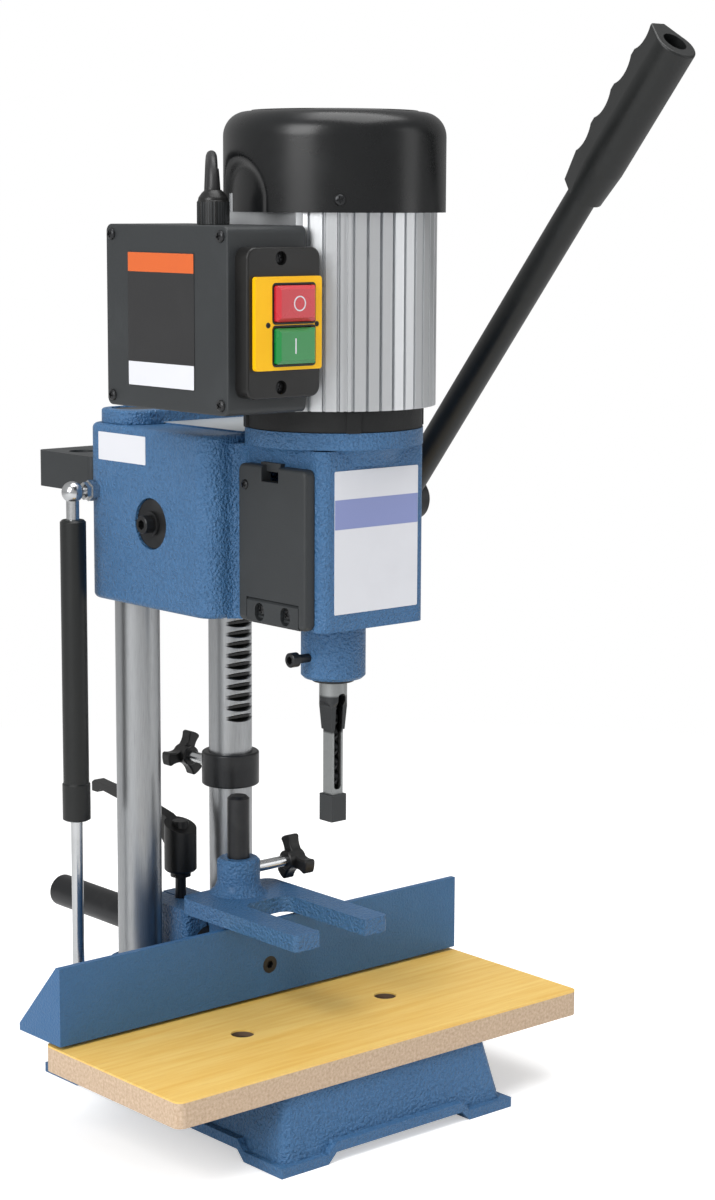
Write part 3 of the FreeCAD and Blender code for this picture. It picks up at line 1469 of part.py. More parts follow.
def push_button(low):
    """Square cap with a sloping skirt round its raised face."""
    front = switch_front() - bezel_thick - button_proud
    shoulder = front + button_skirt
    base = rounded_slab((button_left, button_right), (shoulder, front + button_proud + button_depth),
                        (low, low + button_height), 1.5, 1)
    rings = []
    for y, inset in ((shoulder + 0.01, 0), (front, button_skirt)):
        x0, x1 = button_left + inset, button_right - inset
        z0, z1 = low + inset, low + button_height - inset
        rings.append(Part.makePolygon([V(x0, y, z0), V(x1, y, z0), V(x1, y, z1), V(x0, y, z1),
                                       V(x0, y, z0)]))
    skirt = Part.makeLoft(rings, True, True)
    corners = rounded_slab((button_left, button_right), (front - 1, shoulder + 1),
                           (low, low + button_height), 1.5, 1)
    return union([base, skirt.common(corners)])


# ---- gas spring ----
def ball_stud(z, seat_x):
    """Horizontal stud with a hexagon and a ball end that points away from the machine."""
    hexa = hexagon(11, 4, V(seat_x - 10, spring_y, z), RIGHT)
    nut = hexagon(13, 6, V(seat_x - 6, spring_y, z), RIGHT)
    thread = bar(stud_r, V(seat_x - 8, spring_y, z), V(seat_x + stud_depth, spring_y, z))
    stem = union([hexa, nut, thread])
    shank = bar(stud_r - 0.8, V(spring_x, spring_y, z), V(seat_x - 9, spring_y, z))
    ball = lay_along(Part.makeSphere(ball_r), V(spring_x, spring_y, z), RIGHT)
    return ball.fuse(shank).fuse(stem)


def upper_ball_stud():
    return ball_stud(spring_top_z, -head_half_width)


def lower_ball_stud():
    return ball_stud(spring_foot_z, -housing_half_width)


def ball_socket(z, end):
    ball = Part.makeSphere(ball_socket_r, V(spring_x, spring_y, z))
    neck = bar(ball_neck_r, V(spring_x, spring_y, z), V(spring_x, spring_y, end))
    hollow = Part.makeSphere(ball_r, V(spring_x, spring_y, z))
    mouth = bar(ball_r, V(spring_x, spring_y, z), V(spring_x + 10, spring_y, z))
    return union([ball, neck]).cut([hollow, mouth])


def gas_spring_socket():
    return ball_socket(spring_top_z, spring_tube_top)


def gas_spring_tube():
    bore = spring_tube_r - spring_tube_wall
    tube = turned([(0, spring_tube_top), (spring_tube_r - 1.5, spring_tube_top),
                   (spring_tube_r, spring_tube_top - 1.5), (spring_tube_r, spring_sleeve_top),
                   (spring_tube_r + spring_sleeve_proud, spring_sleeve_top - 1),
                   (spring_tube_r + spring_sleeve_proud, spring_tube_low + 1),
                   (spring_tube_r - 1, spring_tube_low), (spring_rod_r + run_gap, spring_tube_low),
                   (spring_rod_r + run_gap, spring_tube_low + 12), (bore, spring_tube_low + 12),
                   (bore, spring_tube_top - 6), (0, spring_tube_top - 6)], spring_x, spring_y)
    return tube


def gas_spring_rod():
    piston_z = spring_tube_low + 18 + head_travel * 0.15
    rod = upright(spring_rod_r, spring_x, spring_y, spring_foot_z + 14, piston_z)
    bore = spring_tube_r - spring_tube_wall
    piston = upright(bore - run_gap, spring_x, spring_y, piston_z, piston_z + 8)
    return union([ball_socket(spring_foot_z, spring_foot_z + 16), rod, piston])


# ---- chisel rack ----
def tool_holder():
    """Inverted moulded tray bolted behind the head, with a hole for each spare chisel."""
    y = (head_rear_y, tool_y + holder_rear)
    z = (holder_top - holder_height, holder_top)
    outer = rounded_box((-holder_half, holder_half), (y[0], y[1]), z, holder_corner_r)
    inner = rounded_box((-holder_half + holder_wall, holder_half - holder_wall),
                        (y[0] + holder_wall, y[1] - holder_wall),
                        (z[0] - 1, z[1] - holder_wall), holder_corner_r - holder_wall)
    holes = [upright(holder_hole_r, x, hy, z[0], z[1] + 1) for x, hy in holder_hole_places()]
    return outer.cut([inner] + holes)


def holder_hole_places():
    places = []
    for i in range(holder_holes):
        x = (i - (holder_holes - 1) / 2) * holder_hole_spacing
        places.append((x, tool_y + holder_hole_setback + (i % 2) * holder_stagger))
    return places


# ---- mains lead ----
def lead_route():
    top = box_high + gland_hex_height + gland_dome_height
    g = V(gland_x, tool_y + gland_y, top)
    lead_end = V(coil_x, coil_y - coil_mean_r, coil_layers * 2 * lead_r)
    return [g, g + V(0, 0, 13), g + V(8.5, 12, 22.5), g + V(24.5, 34.5, 21.5), g + V(34, 48, 4),
            V(-49, tool_y + 74, 604), V(-44, tool_y + 88, 566), V(-33, tool_y + 108, 530),
            V(-14, tool_y + 143, 506), V(12, tool_y + 180, 500), V(30, tool_y + 216, 492),
            V(28, tool_y + 254, 468), V(33, tool_y + 274, 424), V(46, tool_y + 283, 370),
            V(49, tool_y + 280, 300), V(50, tool_y + 282, 240), V(51, tool_y + 280, 180),
            V(50, tool_y + 282, 124), V(49, tool_y + 279, 76), lead_end + V(0, 0, 30), lead_end]


def tube_along(points, radius):
    """Straight runs joined by tangent arcs, each as large as its two runs allow."""
    edges = []
    here = points[0]
    radii = []
    for i in range(1, len(points) - 1):
        into = points[i].sub(points[i - 1])
        out = points[i + 1].sub(points[i])
        turn = into.getAngle(out)
        short = 0.45 * min(into.Length, out.Length)
        radii.append(short / math.tan(turn / 2))
        before = points[i].sub(V(into).normalize() * short)
        after = points[i].add(V(out).normalize() * short)
        inward = before.add(after).multiply(0.5).sub(points[i]).normalize()
        centre_gap = radii[-1] / math.cos(turn / 2)
        middle = points[i].add(inward * (centre_gap - radii[-1]))
        edges.append(Part.LineSegment(here, before).toShape())
        edges.append(Part.Arc(before, middle, after).toShape())
        here = after
    edges.append(Part.LineSegment(here, points[-1]).toShape())
    wire = Part.Wire(edges)
    start = points[1].sub(points[0])
    circle = Part.Wire(Part.makeCircle(radius, points[0], start))
    tube = wire.makePipeShell([circle], True, True)
    drift = abs(tube.Volume / (math.pi * radius ** 2 * wire.Length) - 1)
    print("lead tube: length %.0f, least radius %.1f, volume off by %.4f"
          % (wire.Length, min(radii), drift))
    return tube


def mains_lead():
    return tube_along(lead_route(), lead_r)


def coil_size():
    """Least and largest radius of the coil, and its height."""
    across = coil_turns / coil_layers * 2 * lead_r
    return coil_mean_r - across / 2, coil_mean_r + across / 2, coil_layers * 2 * lead_r


def plug_neck_point():
    inner, outer, height = coil_size()
    return V(coil_x + outer - lead_r, coil_y - coil_tail, plug_height / 2)


def mains_coil():
    """Outer shape of the coiled rest of the lead on the floor, with its end that runs to the plug."""
    inner, outer, height = coil_size()
    ring = turned([(inner, 0), (outer, 0), (outer, height), (inner, height)], coil_x, coil_y)
    leave = V(coil_x + outer - lead_r, coil_y, height - lead_r)
    into_plug = plug_neck_point().sub(leave)
    return ring.fuse(bar(lead_r, leave, leave.add(into_plug * (1 - clear / into_plug.Length * 2))))


def mains_plug():
    """Two-pin plug on the floor between the coil and the base."""
    start = plug_neck_point()
    body_y = start.y - plug_neck
    middle = start.z
    body = rounded_slab((start.x - plug_width / 2, start.x + plug_width / 2),
                        (body_y - plug_length, body_y), (0, plug_height), middle - 2, 1)
    neck = Part.makeCone(plug_neck_r, middle - 2, plug_neck + 1, start, BACK * -1)
    pins = [bar(pin_r, V(start.x + side * pin_spacing / 2, body_y, middle),
                V(start.x + side * pin_spacing / 2, body_y - plug_length - pin_length, middle))
            for side in (-1, 1)]
    return union([body, neck] + pins)


pieces = {
    "base_casting": base_casting(),
    "table_board": table_board(),
    "table_screws": table_screws(),
    "column_left": plain_column(-column_x),
    "column_right_rack": rack_column(),
    "fence_casting": fence_casting(),
    "fence_rod": fence_rod(),
    "fence_screw": fence_screw(),
    "hold_down_post": hold_down_post(),
    "hold_down_fork": hold_down_fork(),
    "hold_down_knob": fork_knob(),
    "fence_clamp_stud": clamp_stud(),
    "fence_clamp_lever": clamp_lever(),
    "stop_collar": stop_collar(),
    "stop_knob": stop_knob(),
    "head_casting": head_casting(),
    "top_cover": top_cover(),
    "top_cover_screws": top_cover_screws(),
    "nose_bush": nose_bush(),
    "chisel_lock_screw": chisel_lock_screw(),
    "mortise_chisel": mortise_chisel(),
    "chisel_cap": chisel_cap(),
    "auger_bit": auger_bit(),
    "drill_chuck": drill_chuck(),
    "chuck_door": chuck_door(),
    "door_hinge_block": door_hinge_block(),
    "hinge_screws": hinge_screws(),
    "pinion_shaft": pinion_shaft(),
    "shaft_bushes": shaft_bushes(),
    "end_disc": end_disc(),
    "end_bolt": end_bolt(),
    "lever_hub": lever_hub(),
    "lever_tube": lever_tube(),
    "lever_grip": lever_grip(),
    "motor_flange": motor_flange(),
    "motor_housing": motor_housing(),
    "motor_bearings": motor_bearings(),
    "stator": stator(),
    "rotor_shaft": rotor_shaft(),
    "cooling_fan": cooling_fan(),
    "motor_cap": motor_cap(),
    "junction_box": junction_box(),
    "box_lid": box_lid(),
    "cover_screws": cover_screws(),
    "start_capacitor": start_capacitor(),
    "cable_gland": cable_gland(),
    "switch_housing": switch_housing(),
    "switch_bezel": switch_bezel(),
    "switch_screws": switch_screws(),
    "stop_button": push_button(stop_low),
    "start_button": push_button(start_low),
    "upper_ball_stud": upper_ball_stud(),
    "lower_ball_stud": lower_ball_stud(),
    "gas_spring_socket": gas_spring_socket(),
    "gas_spring_tube": gas_spring_tube(),
    "gas_spring_rod": gas_spring_rod(),
    "tool_holder": tool_holder(),
    "mains_lead": mains_lead(),
    "mains_coil": mains_coil(),
    "mains_plug": mains_plug(),
}

os.makedirs("parts", exist_ok=True)
for node, shape in pieces.items():
    shape.exportStep("parts/" + node + ".step")
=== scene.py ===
import bpy
import bmesh
import math
from mathutils import Matrix, Vector


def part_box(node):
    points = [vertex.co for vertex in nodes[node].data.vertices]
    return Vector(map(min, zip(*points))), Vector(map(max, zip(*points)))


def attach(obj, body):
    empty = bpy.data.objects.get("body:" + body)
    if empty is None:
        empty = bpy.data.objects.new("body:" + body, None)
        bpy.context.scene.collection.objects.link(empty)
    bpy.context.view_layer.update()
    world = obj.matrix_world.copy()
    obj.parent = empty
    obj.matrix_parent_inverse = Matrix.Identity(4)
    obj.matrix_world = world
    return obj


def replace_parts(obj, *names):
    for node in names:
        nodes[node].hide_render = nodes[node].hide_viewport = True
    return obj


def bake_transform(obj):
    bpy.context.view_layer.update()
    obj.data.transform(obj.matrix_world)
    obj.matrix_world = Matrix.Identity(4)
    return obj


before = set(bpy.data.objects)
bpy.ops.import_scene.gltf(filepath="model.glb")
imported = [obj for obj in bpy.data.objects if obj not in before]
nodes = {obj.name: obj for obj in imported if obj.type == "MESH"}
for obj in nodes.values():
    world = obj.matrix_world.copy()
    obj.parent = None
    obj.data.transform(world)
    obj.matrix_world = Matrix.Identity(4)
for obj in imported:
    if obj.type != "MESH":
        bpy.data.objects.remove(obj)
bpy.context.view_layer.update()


# ---- shader groups ----
def new_group(name, inputs, outputs):
    """An empty shader group with what it is given, and the node that takes what it makes."""
    tree = bpy.data.node_groups.new(name, "ShaderNodeTree")
    for label, kind, value in inputs:
        socket = tree.interface.new_socket(label, in_out="INPUT", socket_type=kind)
        socket.default_value = value
    for label, kind in outputs:
        tree.interface.new_socket(label, in_out="OUTPUT", socket_type=kind)
    return tree, tree.nodes.new("NodeGroupInput").outputs, tree.nodes.new("NodeGroupOutput")


def add(tree, kind, **settings):
    """A new node of a kind, with its settings."""
    node = tree.nodes.new(kind)
    for label, value in settings.items():
        setattr(node, label, value)
    return node


def feed(tree, node, sockets):
    """Links or sets a node's inputs, given by name or number, and returns its first output."""
    for label, value in sockets.items():
        if hasattr(value, "is_output"):
            tree.links.new(value, node.inputs[label])
        else:
            node.inputs[label].default_value = value
    return node.outputs[0] if node.outputs else None


def maths(tree, operation, one, other=0.0):
    """One sum on one or two numbers or sockets."""
    return feed(tree, add(tree, "ShaderNodeMath", operation=operation), {0: one, 1: other})


def noise(tree, coords, scale, detail=3.0, rough=0.55):
    """Soft noise about 0.5, from 0 to 1."""
    node = add(tree, "ShaderNodeTexNoise")
    feed(tree, node, {"Vector": coords, "Scale": scale, "Detail": detail, "Roughness": rough})
    return node.outputs["Fac"]


def span(tree, value, low, high, out_low, out_high):
    """Carries the stretch from low to high over to out_low to out_high, and no further."""
    node = add(tree, "ShaderNodeMapRange")
    feed(tree, node, {"Value": value, "From Min": low, "From Max": high, "To Min": out_low,
                      "To Max": out_high})
    return node.outputs["Result"]


def mix(tree, amount, one, other):
    """Two colours mixed, each a socket or red, green and blue."""
    node = add(tree, "ShaderNodeMix", data_type="RGBA")
    one, other = (value if hasattr(value, "is_output") else (*value, 1.0) for value in (one, other))
    feed(tree, node, {"Factor": amount, "A": one, "B": other})
    return node.outputs["Result"]


def split(tree, coords):
    """The X, Y and Z of a vector."""
    return feed(tree, add(tree, "ShaderNodeSeparateXYZ"), {0: coords}).node.outputs


def stretched(tree, coords, scale):
    """Coordinates scaled along each axis, so that a noise on them comes out drawn."""
    return feed(tree, add(tree, "ShaderNodeMapping"), {"Vector": coords, "Scale": scale})


def bumps(tree, height, depth, strength):
    """Bump normals from a height between 0 and 1, over a depth in metres."""
    return feed(tree, add(tree, "ShaderNodeBump"),
                {"Distance": depth, "Strength": strength, "Height": height})


surface_sockets = [("Colour", "NodeSocketColor"), ("Roughness", "NodeSocketFloat"),
                   ("Normal", "NodeSocketVector")]
fine_bump = 0.0004  # how deep the grain and the board's fibres can be


def hammered_group():
    """Pebbled paint: low rounded bumps about two millimetres across, with painted shade darkening the hollows."""
    tree, given, made = new_group(
        "hammered paint",
        [("Vector", "NodeSocketVector", (0, 0, 0)), ("Colour", "NodeSocketColor", (0.1, 0.2, 0.4, 1)),
         ("Hollow Colour", "NodeSocketColor", (0.03, 0.08, 0.16, 1)),
         ("Bump Size", "NodeSocketFloat", 500.0), ("Bump Depth", "NodeSocketFloat", 0.35)],
        surface_sockets)
    pebbles = noise(tree, given["Vector"], given["Bump Size"], 2.0, 0.5)
    patches = noise(tree, given["Vector"], 30.0, 4.0)
    tint = mix(tree, span(tree, patches, 0.35, 0.65, 0.0, 0.12), given["Colour"],
               given["Hollow Colour"])
    # Painted shade: the hollows between the pebbles are mixed towards the hollow colour.
    hollow_shade = mix(tree, span(tree, pebbles, 0.52, 0.3, 0.0, 0.4), tint, given["Hollow Colour"])
    feed(tree, made, {"Colour": hollow_shade, "Roughness": span(tree, patches, 0.3, 0.7, 0.3, 0.42),
                      "Normal": bumps(tree, pebbles, 0.003, given["Bump Depth"])})
    return tree


def grain_group():
    """Fine moulded or blasted grain with slow changes of tone."""
    tree, given, made = new_group(
        "fine grain",
        [("Vector", "NodeSocketVector", (0, 0, 0)), ("Colour", "NodeSocketColor", (0.1, 0.1, 0.1, 1)),
         ("Worn Colour", "NodeSocketColor", (0.2, 0.2, 0.2, 1)),
         ("Grain Size", "NodeSocketFloat", 1500.0), ("Grain Depth", "NodeSocketFloat", 0.2),
         ("Gloss Low", "NodeSocketFloat", 0.4), ("Gloss High", "NodeSocketFloat", 0.55)],
        surface_sockets)
    fine = noise(tree, given["Vector"], given["Grain Size"], 2.0)
    slow = noise(tree, given["Vector"], 35.0, 5.0)
    worn = span(tree, slow, 0.5, 0.8, 0.0, 0.6)
    feed(tree, made, {"Colour": mix(tree, worn, given["Colour"], given["Worn Colour"]),
                      "Roughness": span(tree, slow, 0.3, 0.7, given["Gloss Low"], given["Gloss High"]),
                      "Normal": bumps(tree, fine, fine_bump, given["Grain Depth"])})
    return tree


hammered = hammered_group()
grain = grain_group()


# ---- materials ----
def new_material(name):
    """A material with its Principled BSDF and the piece's own coordinates."""
    material = bpy.data.materials.new(name)
    material.use_nodes = True
    tree = material.node_tree
    bsdf = tree.nodes["Principled BSDF"]
    coords = tree.nodes.new("ShaderNodeTexCoord").outputs["Object"]
    return material, tree, bsdf, coords


def use_group(tree, group, bsdf, coords, **values):
    """Runs a shader group into the BSDF. An underscore stands for the space in a socket's name."""
    node = add(tree, "ShaderNodeGroup", node_tree=group)
    feed(tree, node, {"Vector": coords})
    feed(tree, node, {label.replace("_", " "): value for label, value in values.items()})
    feed(tree, bsdf, {"Base Color": node.outputs["Colour"], "Roughness": node.outputs["Roughness"],
                      "Normal": node.outputs["Normal"]})
    return node


def hammered_paint(name, colour, hollow_shade, size, depth):
    """Casting paint; size is the pebbles' noise scale and depth the strength of their bump. The hollow colour is
    painted shade for the hollows, and a slight random tint.
    """
    material, tree, bsdf, coords = new_material(name)
    use_group(tree, hammered, bsdf, coords, Colour=(*colour, 1), Hollow_Colour=(*hollow_shade, 1),
              Bump_Size=size, Bump_Depth=depth)
    feed(tree, bsdf, {"Specular IOR Level": 0.3, "Coat Weight": 0.12, "Coat Roughness": 0.25})
    return material


def grained(name, colour, worn, size, depth, gloss, metallic=0.0, along=None, coat=0.0, shine=0.5):
    """Plastic, rubber or metal with the fine grain; along stretches the grain on an axis."""
    material, tree, bsdf, coords = new_material(name)
    coords = stretched(tree, coords, along) if along else coords
    use_group(tree, grain, bsdf, coords, Colour=(*colour, 1), Worn_Colour=(*worn, 1), Grain_Size=size,
              Grain_Depth=depth, Gloss_Low=gloss[0], Gloss_High=gloss[1])
    feed(tree, bsdf, {"Metallic": metallic, "Coat Weight": coat, "Specular IOR Level": shine})
    return material


def laminated_board(low, high):
    """Beech-print laminate on top of bare fibreboard edges; the drilled walls inside are darkened with painted
    shade.
    """
    material, tree, bsdf, coords = new_material("laminated board")
    streaks = noise(tree, stretched(tree, coords, (4.0, 70.0, 4.0)), 3.0, 6.0, 0.6)
    pores = noise(tree, stretched(tree, coords, (60.0, 900.0, 60.0)), 1.0, 2.0)
    wood = mix(tree, span(tree, streaks, 0.35, 0.68, 0.0, 1.0), (0.88, 0.60, 0.17), (0.80, 0.47, 0.09))
    wood = mix(tree, span(tree, pores, 0.62, 0.8, 0.0, 0.3), wood, (0.52, 0.30, 0.09))
    fibres = noise(tree, coords, 2400.0, 3.0)
    clumps = noise(tree, coords, 500.0, 4.0)
    edge = mix(tree, span(tree, clumps, 0.3, 0.7, 0.0, 1.0), (0.47, 0.33, 0.22), (0.66, 0.51, 0.37))
    edge = mix(tree, span(tree, fibres, 0.55, 0.75, 0.0, 0.4), edge, (0.33, 0.20, 0.11))
    spot = split(tree, coords)
    aside = maths(tree, "DIVIDE", maths(tree, "ABSOLUTE", spot["X"]), high.x)
    along = maths(tree, "ABSOLUTE", maths(tree, "SUBTRACT", spot["Y"], (low.y + high.y) / 2))
    outer = maths(tree, "MAXIMUM", aside, maths(tree, "DIVIDE", along, (high.y - low.y) / 2))
    # Painted shade: the walls of the drilled holes, away from the board's outer edge, are dark brown.
    edge = mix(tree, span(tree, outer, 0.94, 0.96, 0.0, 1.0), (0.13, 0.085, 0.055), edge)
    print_low, print_high = high.z - 0.0013, high.z - 0.0011
    on_top = span(tree, spot["Z"], print_low, print_high, 0.0, 1.0)
    feed(tree, bsdf, {"Base Color": mix(tree, on_top, edge, wood),
                      "Normal": bumps(tree, fibres, fine_bump, 0.2),
                      "Roughness": span(tree, on_top, 0.0, 1.0, 0.85, 0.38)})
    return material


def chisel_steel(taper_low, shank_low):
    """Ground blade and shank with the blackened taper between them, given as heights."""
    fade = 0.0015
    material, tree, bsdf, coords = new_material("chisel steel")
    node = use_group(tree, grain, bsdf, stretched(tree, coords, (40.0, 40.0, 900.0)), Grain_Size=2.0,
                     Grain_Depth=0.25, Gloss_Low=0.25, Gloss_High=0.4)
    height = split(tree, coords)["Z"]
    bright = maths(tree, "MAXIMUM", span(tree, height, shank_low, shank_low + fade, 0.0, 1.0),
                   span(tree, height, taper_low - fade, taper_low, 1.0, 0.0))
    feed(tree, node, {"Colour": mix(tree, bright, (0.05, 0.052, 0.054), (0.28, 0.29, 0.29)),
                      "Worn Colour": mix(tree, bright, (0.08, 0.083, 0.085), (0.4, 0.41, 0.41))})
    feed(tree, bsdf, {"Metallic": 0.9})
    return material


def column_steel(low, high):
    """Ground columns, drawn lengthwise; darker in the rack's spaces, cut below the round."""
    material, tree, bsdf, coords = new_material("column steel")
    node = use_group(tree, grain, bsdf, stretched(tree, coords, (170.0, 170.0, 2.0)), Grain_Size=1.0,
                     Grain_Depth=0.1, Gloss_Low=0.3, Gloss_High=0.42)
    spot = split(tree, coords)
    across = maths(tree, "SUBTRACT", maths(tree, "ABSOLUTE", spot["X"]), (low.x + high.x) / 2)
    back = maths(tree, "SUBTRACT", spot["Y"], (low.y + high.y) / 2)
    reach = maths(tree, "SQRT", maths(tree, "ADD", maths(tree, "MULTIPLY", across, across),
                                      maths(tree, "MULTIPLY", back, back)))
    radius = (high.x - low.x) / 2
    on_round = span(tree, reach, radius - 0.0022, radius - 0.0004, 0.0, 1.0)
    feed(tree, node, {"Colour": mix(tree, on_round, (0.05, 0.05, 0.05), (0.38, 0.39, 0.4)),
                      "Worn Colour": mix(tree, on_round, (0.03, 0.03, 0.03), (0.12, 0.125, 0.13))})
    feed(tree, bsdf, {"Metallic": 1.0})
    return material


# The second colour of each paint is painted shade in the pebbles' hollows, and also a slight random tint.
blue = hammered_paint("blue hammered paint", (0.055, 0.152, 0.31), (0.026, 0.08, 0.175), 500.0, 0.9)
blue_smooth = hammered_paint("blue casting paint", (0.036, 0.128, 0.285), (0.022, 0.085, 0.19), 650.0,
                             0.3)
black_plastic = grained("black moulding", (0.026, 0.029, 0.031), (0.035, 0.039, 0.042), 1500.0, 0.2,
                        (0.42, 0.55), shine=0.4)
switch_black = grained("switch moulding", (0.008, 0.008, 0.008), (0.014, 0.013, 0.012), 1500.0, 0.15,
                       (0.3, 0.44), shine=0.4)
gloss_black = grained("black cowl", (0.005, 0.0055, 0.006), (0.008, 0.009, 0.01), 900.0, 0.05,
                      (0.24, 0.32), shine=0.4)
black_iron = grained("black casting", (0.008, 0.0085, 0.009), (0.02, 0.021, 0.022), 500.0, 0.5,
                     (0.5, 0.65), shine=0.35)
black_oxide = grained("blackened steel", (0.03, 0.031, 0.033), (0.07, 0.07, 0.07), 700.0, 0.12,
                      (0.3, 0.42), 0.75)
satin_black = grained("satin black tube", (0.008, 0.009, 0.009), (0.014, 0.015, 0.015), 600.0, 0.06,
                      (0.32, 0.42), shine=0.4)
bright_steel = grained("bright steel", (0.55, 0.56, 0.57), (0.42, 0.43, 0.44), 900.0, 0.06,
                       (0.16, 0.26), 1.0)
milled_iron = grained("milled iron", (0.60, 0.63, 0.65), (0.50, 0.53, 0.55), 1.0, 0.2, (0.4, 0.5), 0.6,
                      (900.0, 20.0, 20.0))
extruded = grained("extruded aluminium", (0.67, 0.685, 0.70), (0.54, 0.555, 0.57), 1.0, 0.16,
                   (0.3, 0.42), 0.9, (700.0, 700.0, 6.0))
yellow = grained("yellow plate", (0.92, 0.50, 0.004), (0.86, 0.43, 0.004), 900.0, 0.08, (0.28, 0.38),
                 shine=0.25)
red = grained("red button", (0.52, 0.022, 0.036), (0.47, 0.02, 0.03), 900.0, 0.06, (0.22, 0.3),
              coat=0.3)
green = grained("green button", (0.006, 0.21, 0.042), (0.006, 0.18, 0.036), 900.0, 0.06, (0.22, 0.3),
                coat=0.3)
bronze = grained("bush bronze", (0.5, 0.32, 0.12), (0.4, 0.26, 0.1), 600.0, 0.1, (0.3, 0.4), 0.9)
copper = grained("windings", (0.4, 0.16, 0.06), (0.25, 0.1, 0.05), 400.0, 0.3, (0.4, 0.5), 0.7)
rubber = grained("cable rubber", (0.012, 0.012, 0.013), (0.018, 0.018, 0.019), 1800.0, 0.2,
                 (0.38, 0.5))
white_film = grained("white plate film", (0.68, 0.69, 0.73), (0.64, 0.65, 0.69), 700.0, 0.03,
                     (0.3, 0.38))
violet_film = grained("violet blue band", (0.22, 0.26, 0.50), (0.2, 0.24, 0.46), 700.0, 0.03,
                      (0.3, 0.38))
orange_film = grained("orange band", (0.62, 0.115, 0.02), (0.56, 0.10, 0.02), 700.0, 0.03,
                      (0.3, 0.38))
dark_film = grained("dark plate film", (0.018, 0.018, 0.019), (0.025, 0.025, 0.026), 700.0, 0.03,
                    (0.3, 0.4))
board = laminated_board(*(Vector(corner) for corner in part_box("table_board")))
chisel = chisel_steel(taper_low=0.272, shank_low=0.2965)
columns = column_steel(Vector(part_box("column_right_rack")[0]), Vector(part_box("column_right_rack")[1]))

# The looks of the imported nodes. The cover, switch and hinge screws, the motor cap, the lead and its
# coil are missing here, because they are made again below.
finishes = {
    "base_casting": blue, "head_casting": blue, "top_cover": blue, "fence_casting": blue_smooth,
    "hold_down_fork": blue, "table_board": board, "table_screws": black_oxide,
    "column_left": columns, "column_right_rack": columns, "gas_spring_rod": bright_steel,
    "lower_ball_stud": bright_steel, "upper_ball_stud": bright_steel, "mains_plug": rubber,
    "cable_gland": switch_black, "top_cover_screws": black_oxide, "gas_spring_tube": satin_black,
    "gas_spring_socket": bright_steel, "tool_holder": black_plastic, "nose_bush": black_oxide,
    "chisel_lock_screw": black_oxide, "mortise_chisel": chisel, "chisel_cap": black_plastic,
    "motor_flange": black_iron, "motor_housing": extruded, "stator": copper,
    "motor_bearings": bright_steel, "junction_box": black_plastic, "box_lid": black_plastic,
    "start_capacitor": black_plastic, "switch_housing": switch_black, "switch_bezel": yellow,
    "door_hinge_block": black_plastic, "shaft_bushes": bronze, "rotor_shaft": bright_steel,
    "cooling_fan": black_plastic, "drill_chuck": bright_steel, "auger_bit": black_oxide,
    "pinion_shaft": black_oxide, "end_disc": black_oxide, "end_bolt": black_oxide,
    "lever_hub": black_oxide, "lever_tube": satin_black, "lever_grip": satin_black,
    "chuck_door": black_plastic, "stop_button": red, "start_button": green,
    "fence_rod": black_oxide, "fence_screw": black_oxide, "hold_down_post": black_oxide,
    "fence_clamp_stud": black_oxide, "fence_clamp_lever": switch_black,
    "hold_down_knob": switch_black, "stop_collar": black_oxide, "stop_knob": switch_black,
}

# Faces that meet at more than corner_degrees make an edge. Pieces with finer facets take soft_degrees.
corner_degrees, soft_degrees = 35, 40
# How wide each node's edges are broken. At 0 they stay sharp.
plain_break = 0.0004
edge_breaks = {"base_casting": 0.0022, "head_casting": 0.0018, "top_cover": 0.0008,
               "fence_casting": 0.0016, "hold_down_fork": 0.0016, "table_board": 0.0005,
               "junction_box": 0.0006, "box_lid": 0, "motor_flange": 0.0008, "tool_holder": 0.0008,
               "fence_clamp_lever": 0.0012}


def finish_cad_node(name, material):
    """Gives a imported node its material, smooth faces and slightly broken edges."""
    piece = nodes[name]
    piece.data.materials.clear()
    piece.data.materials.append(material)
    for polygon in piece.data.polygons:
        polygon.use_smooth = True
    weld = piece.modifiers.new("join facets", "WELD")
    weld.merge_threshold = 0.00001
    width = edge_breaks.get(name, plain_break)
    if not width:
        piece.modifiers.new("sharp edges", "EDGE_SPLIT").split_angle = math.radians(corner_degrees)
        return
    bevel = piece.modifiers.new("broken edges", "BEVEL")
    bevel.width = width
    bevel.segments = 2
    bevel.limit_method = "ANGLE"
    bevel.angle_limit = math.radians(corner_degrees)
    flats = piece.modifiers.new("even flats", "WEIGHTED_NORMAL")
    flats.mode = "FACE_AREA"
    flats.weight = 50


for node_name, finish in finishes.items():
    finish_cad_node(node_name, finish)


# ---- pieces made here ----
def dressed(name, mesh, material):
    """A new piece with its material."""
    piece = bpy.data.objects.new(name, mesh)
    bpy.context.scene.collection.objects.link(piece)
    mesh.materials.clear()
    mesh.materials.append(material)
    return piece


def place(name, mesh, material, body):
    """A new piece that rides on a body."""
    piece = dressed(name, mesh, material)
    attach(piece, body)
    return piece


def crease(mesh, degrees):
    """Smooth faces, sharp where two of them meet at more than the given angle."""
    mesh.polygons.foreach_set("use_smooth", [True] * len(mesh.polygons))
    mesh.set_sharp_from_angle(angle=math.radians(degrees))
    return mesh


def mesh_of(name, shape):
    """The mesh of a shape with its faces turned outwards. The shape itself is freed."""
    bmesh.ops.recalc_face_normals(shape, faces=shape.faces)
    mesh = bpy.data.meshes.new(name)
    shape.to_mesh(mesh)
    shape.free()
    return mesh


def bridged(shape, loops, closed=False):
    """Faces between each two loops in turn, and from the last to the first where closed is set."""
    for one, other in zip(loops, loops[1:] + loops[:1] if closed else loops[1:]):
        for i in range(len(one)):
            following = (i + 1) % len(one)
            shape.faces.new((one[i], one[following], other[following], other[i]))


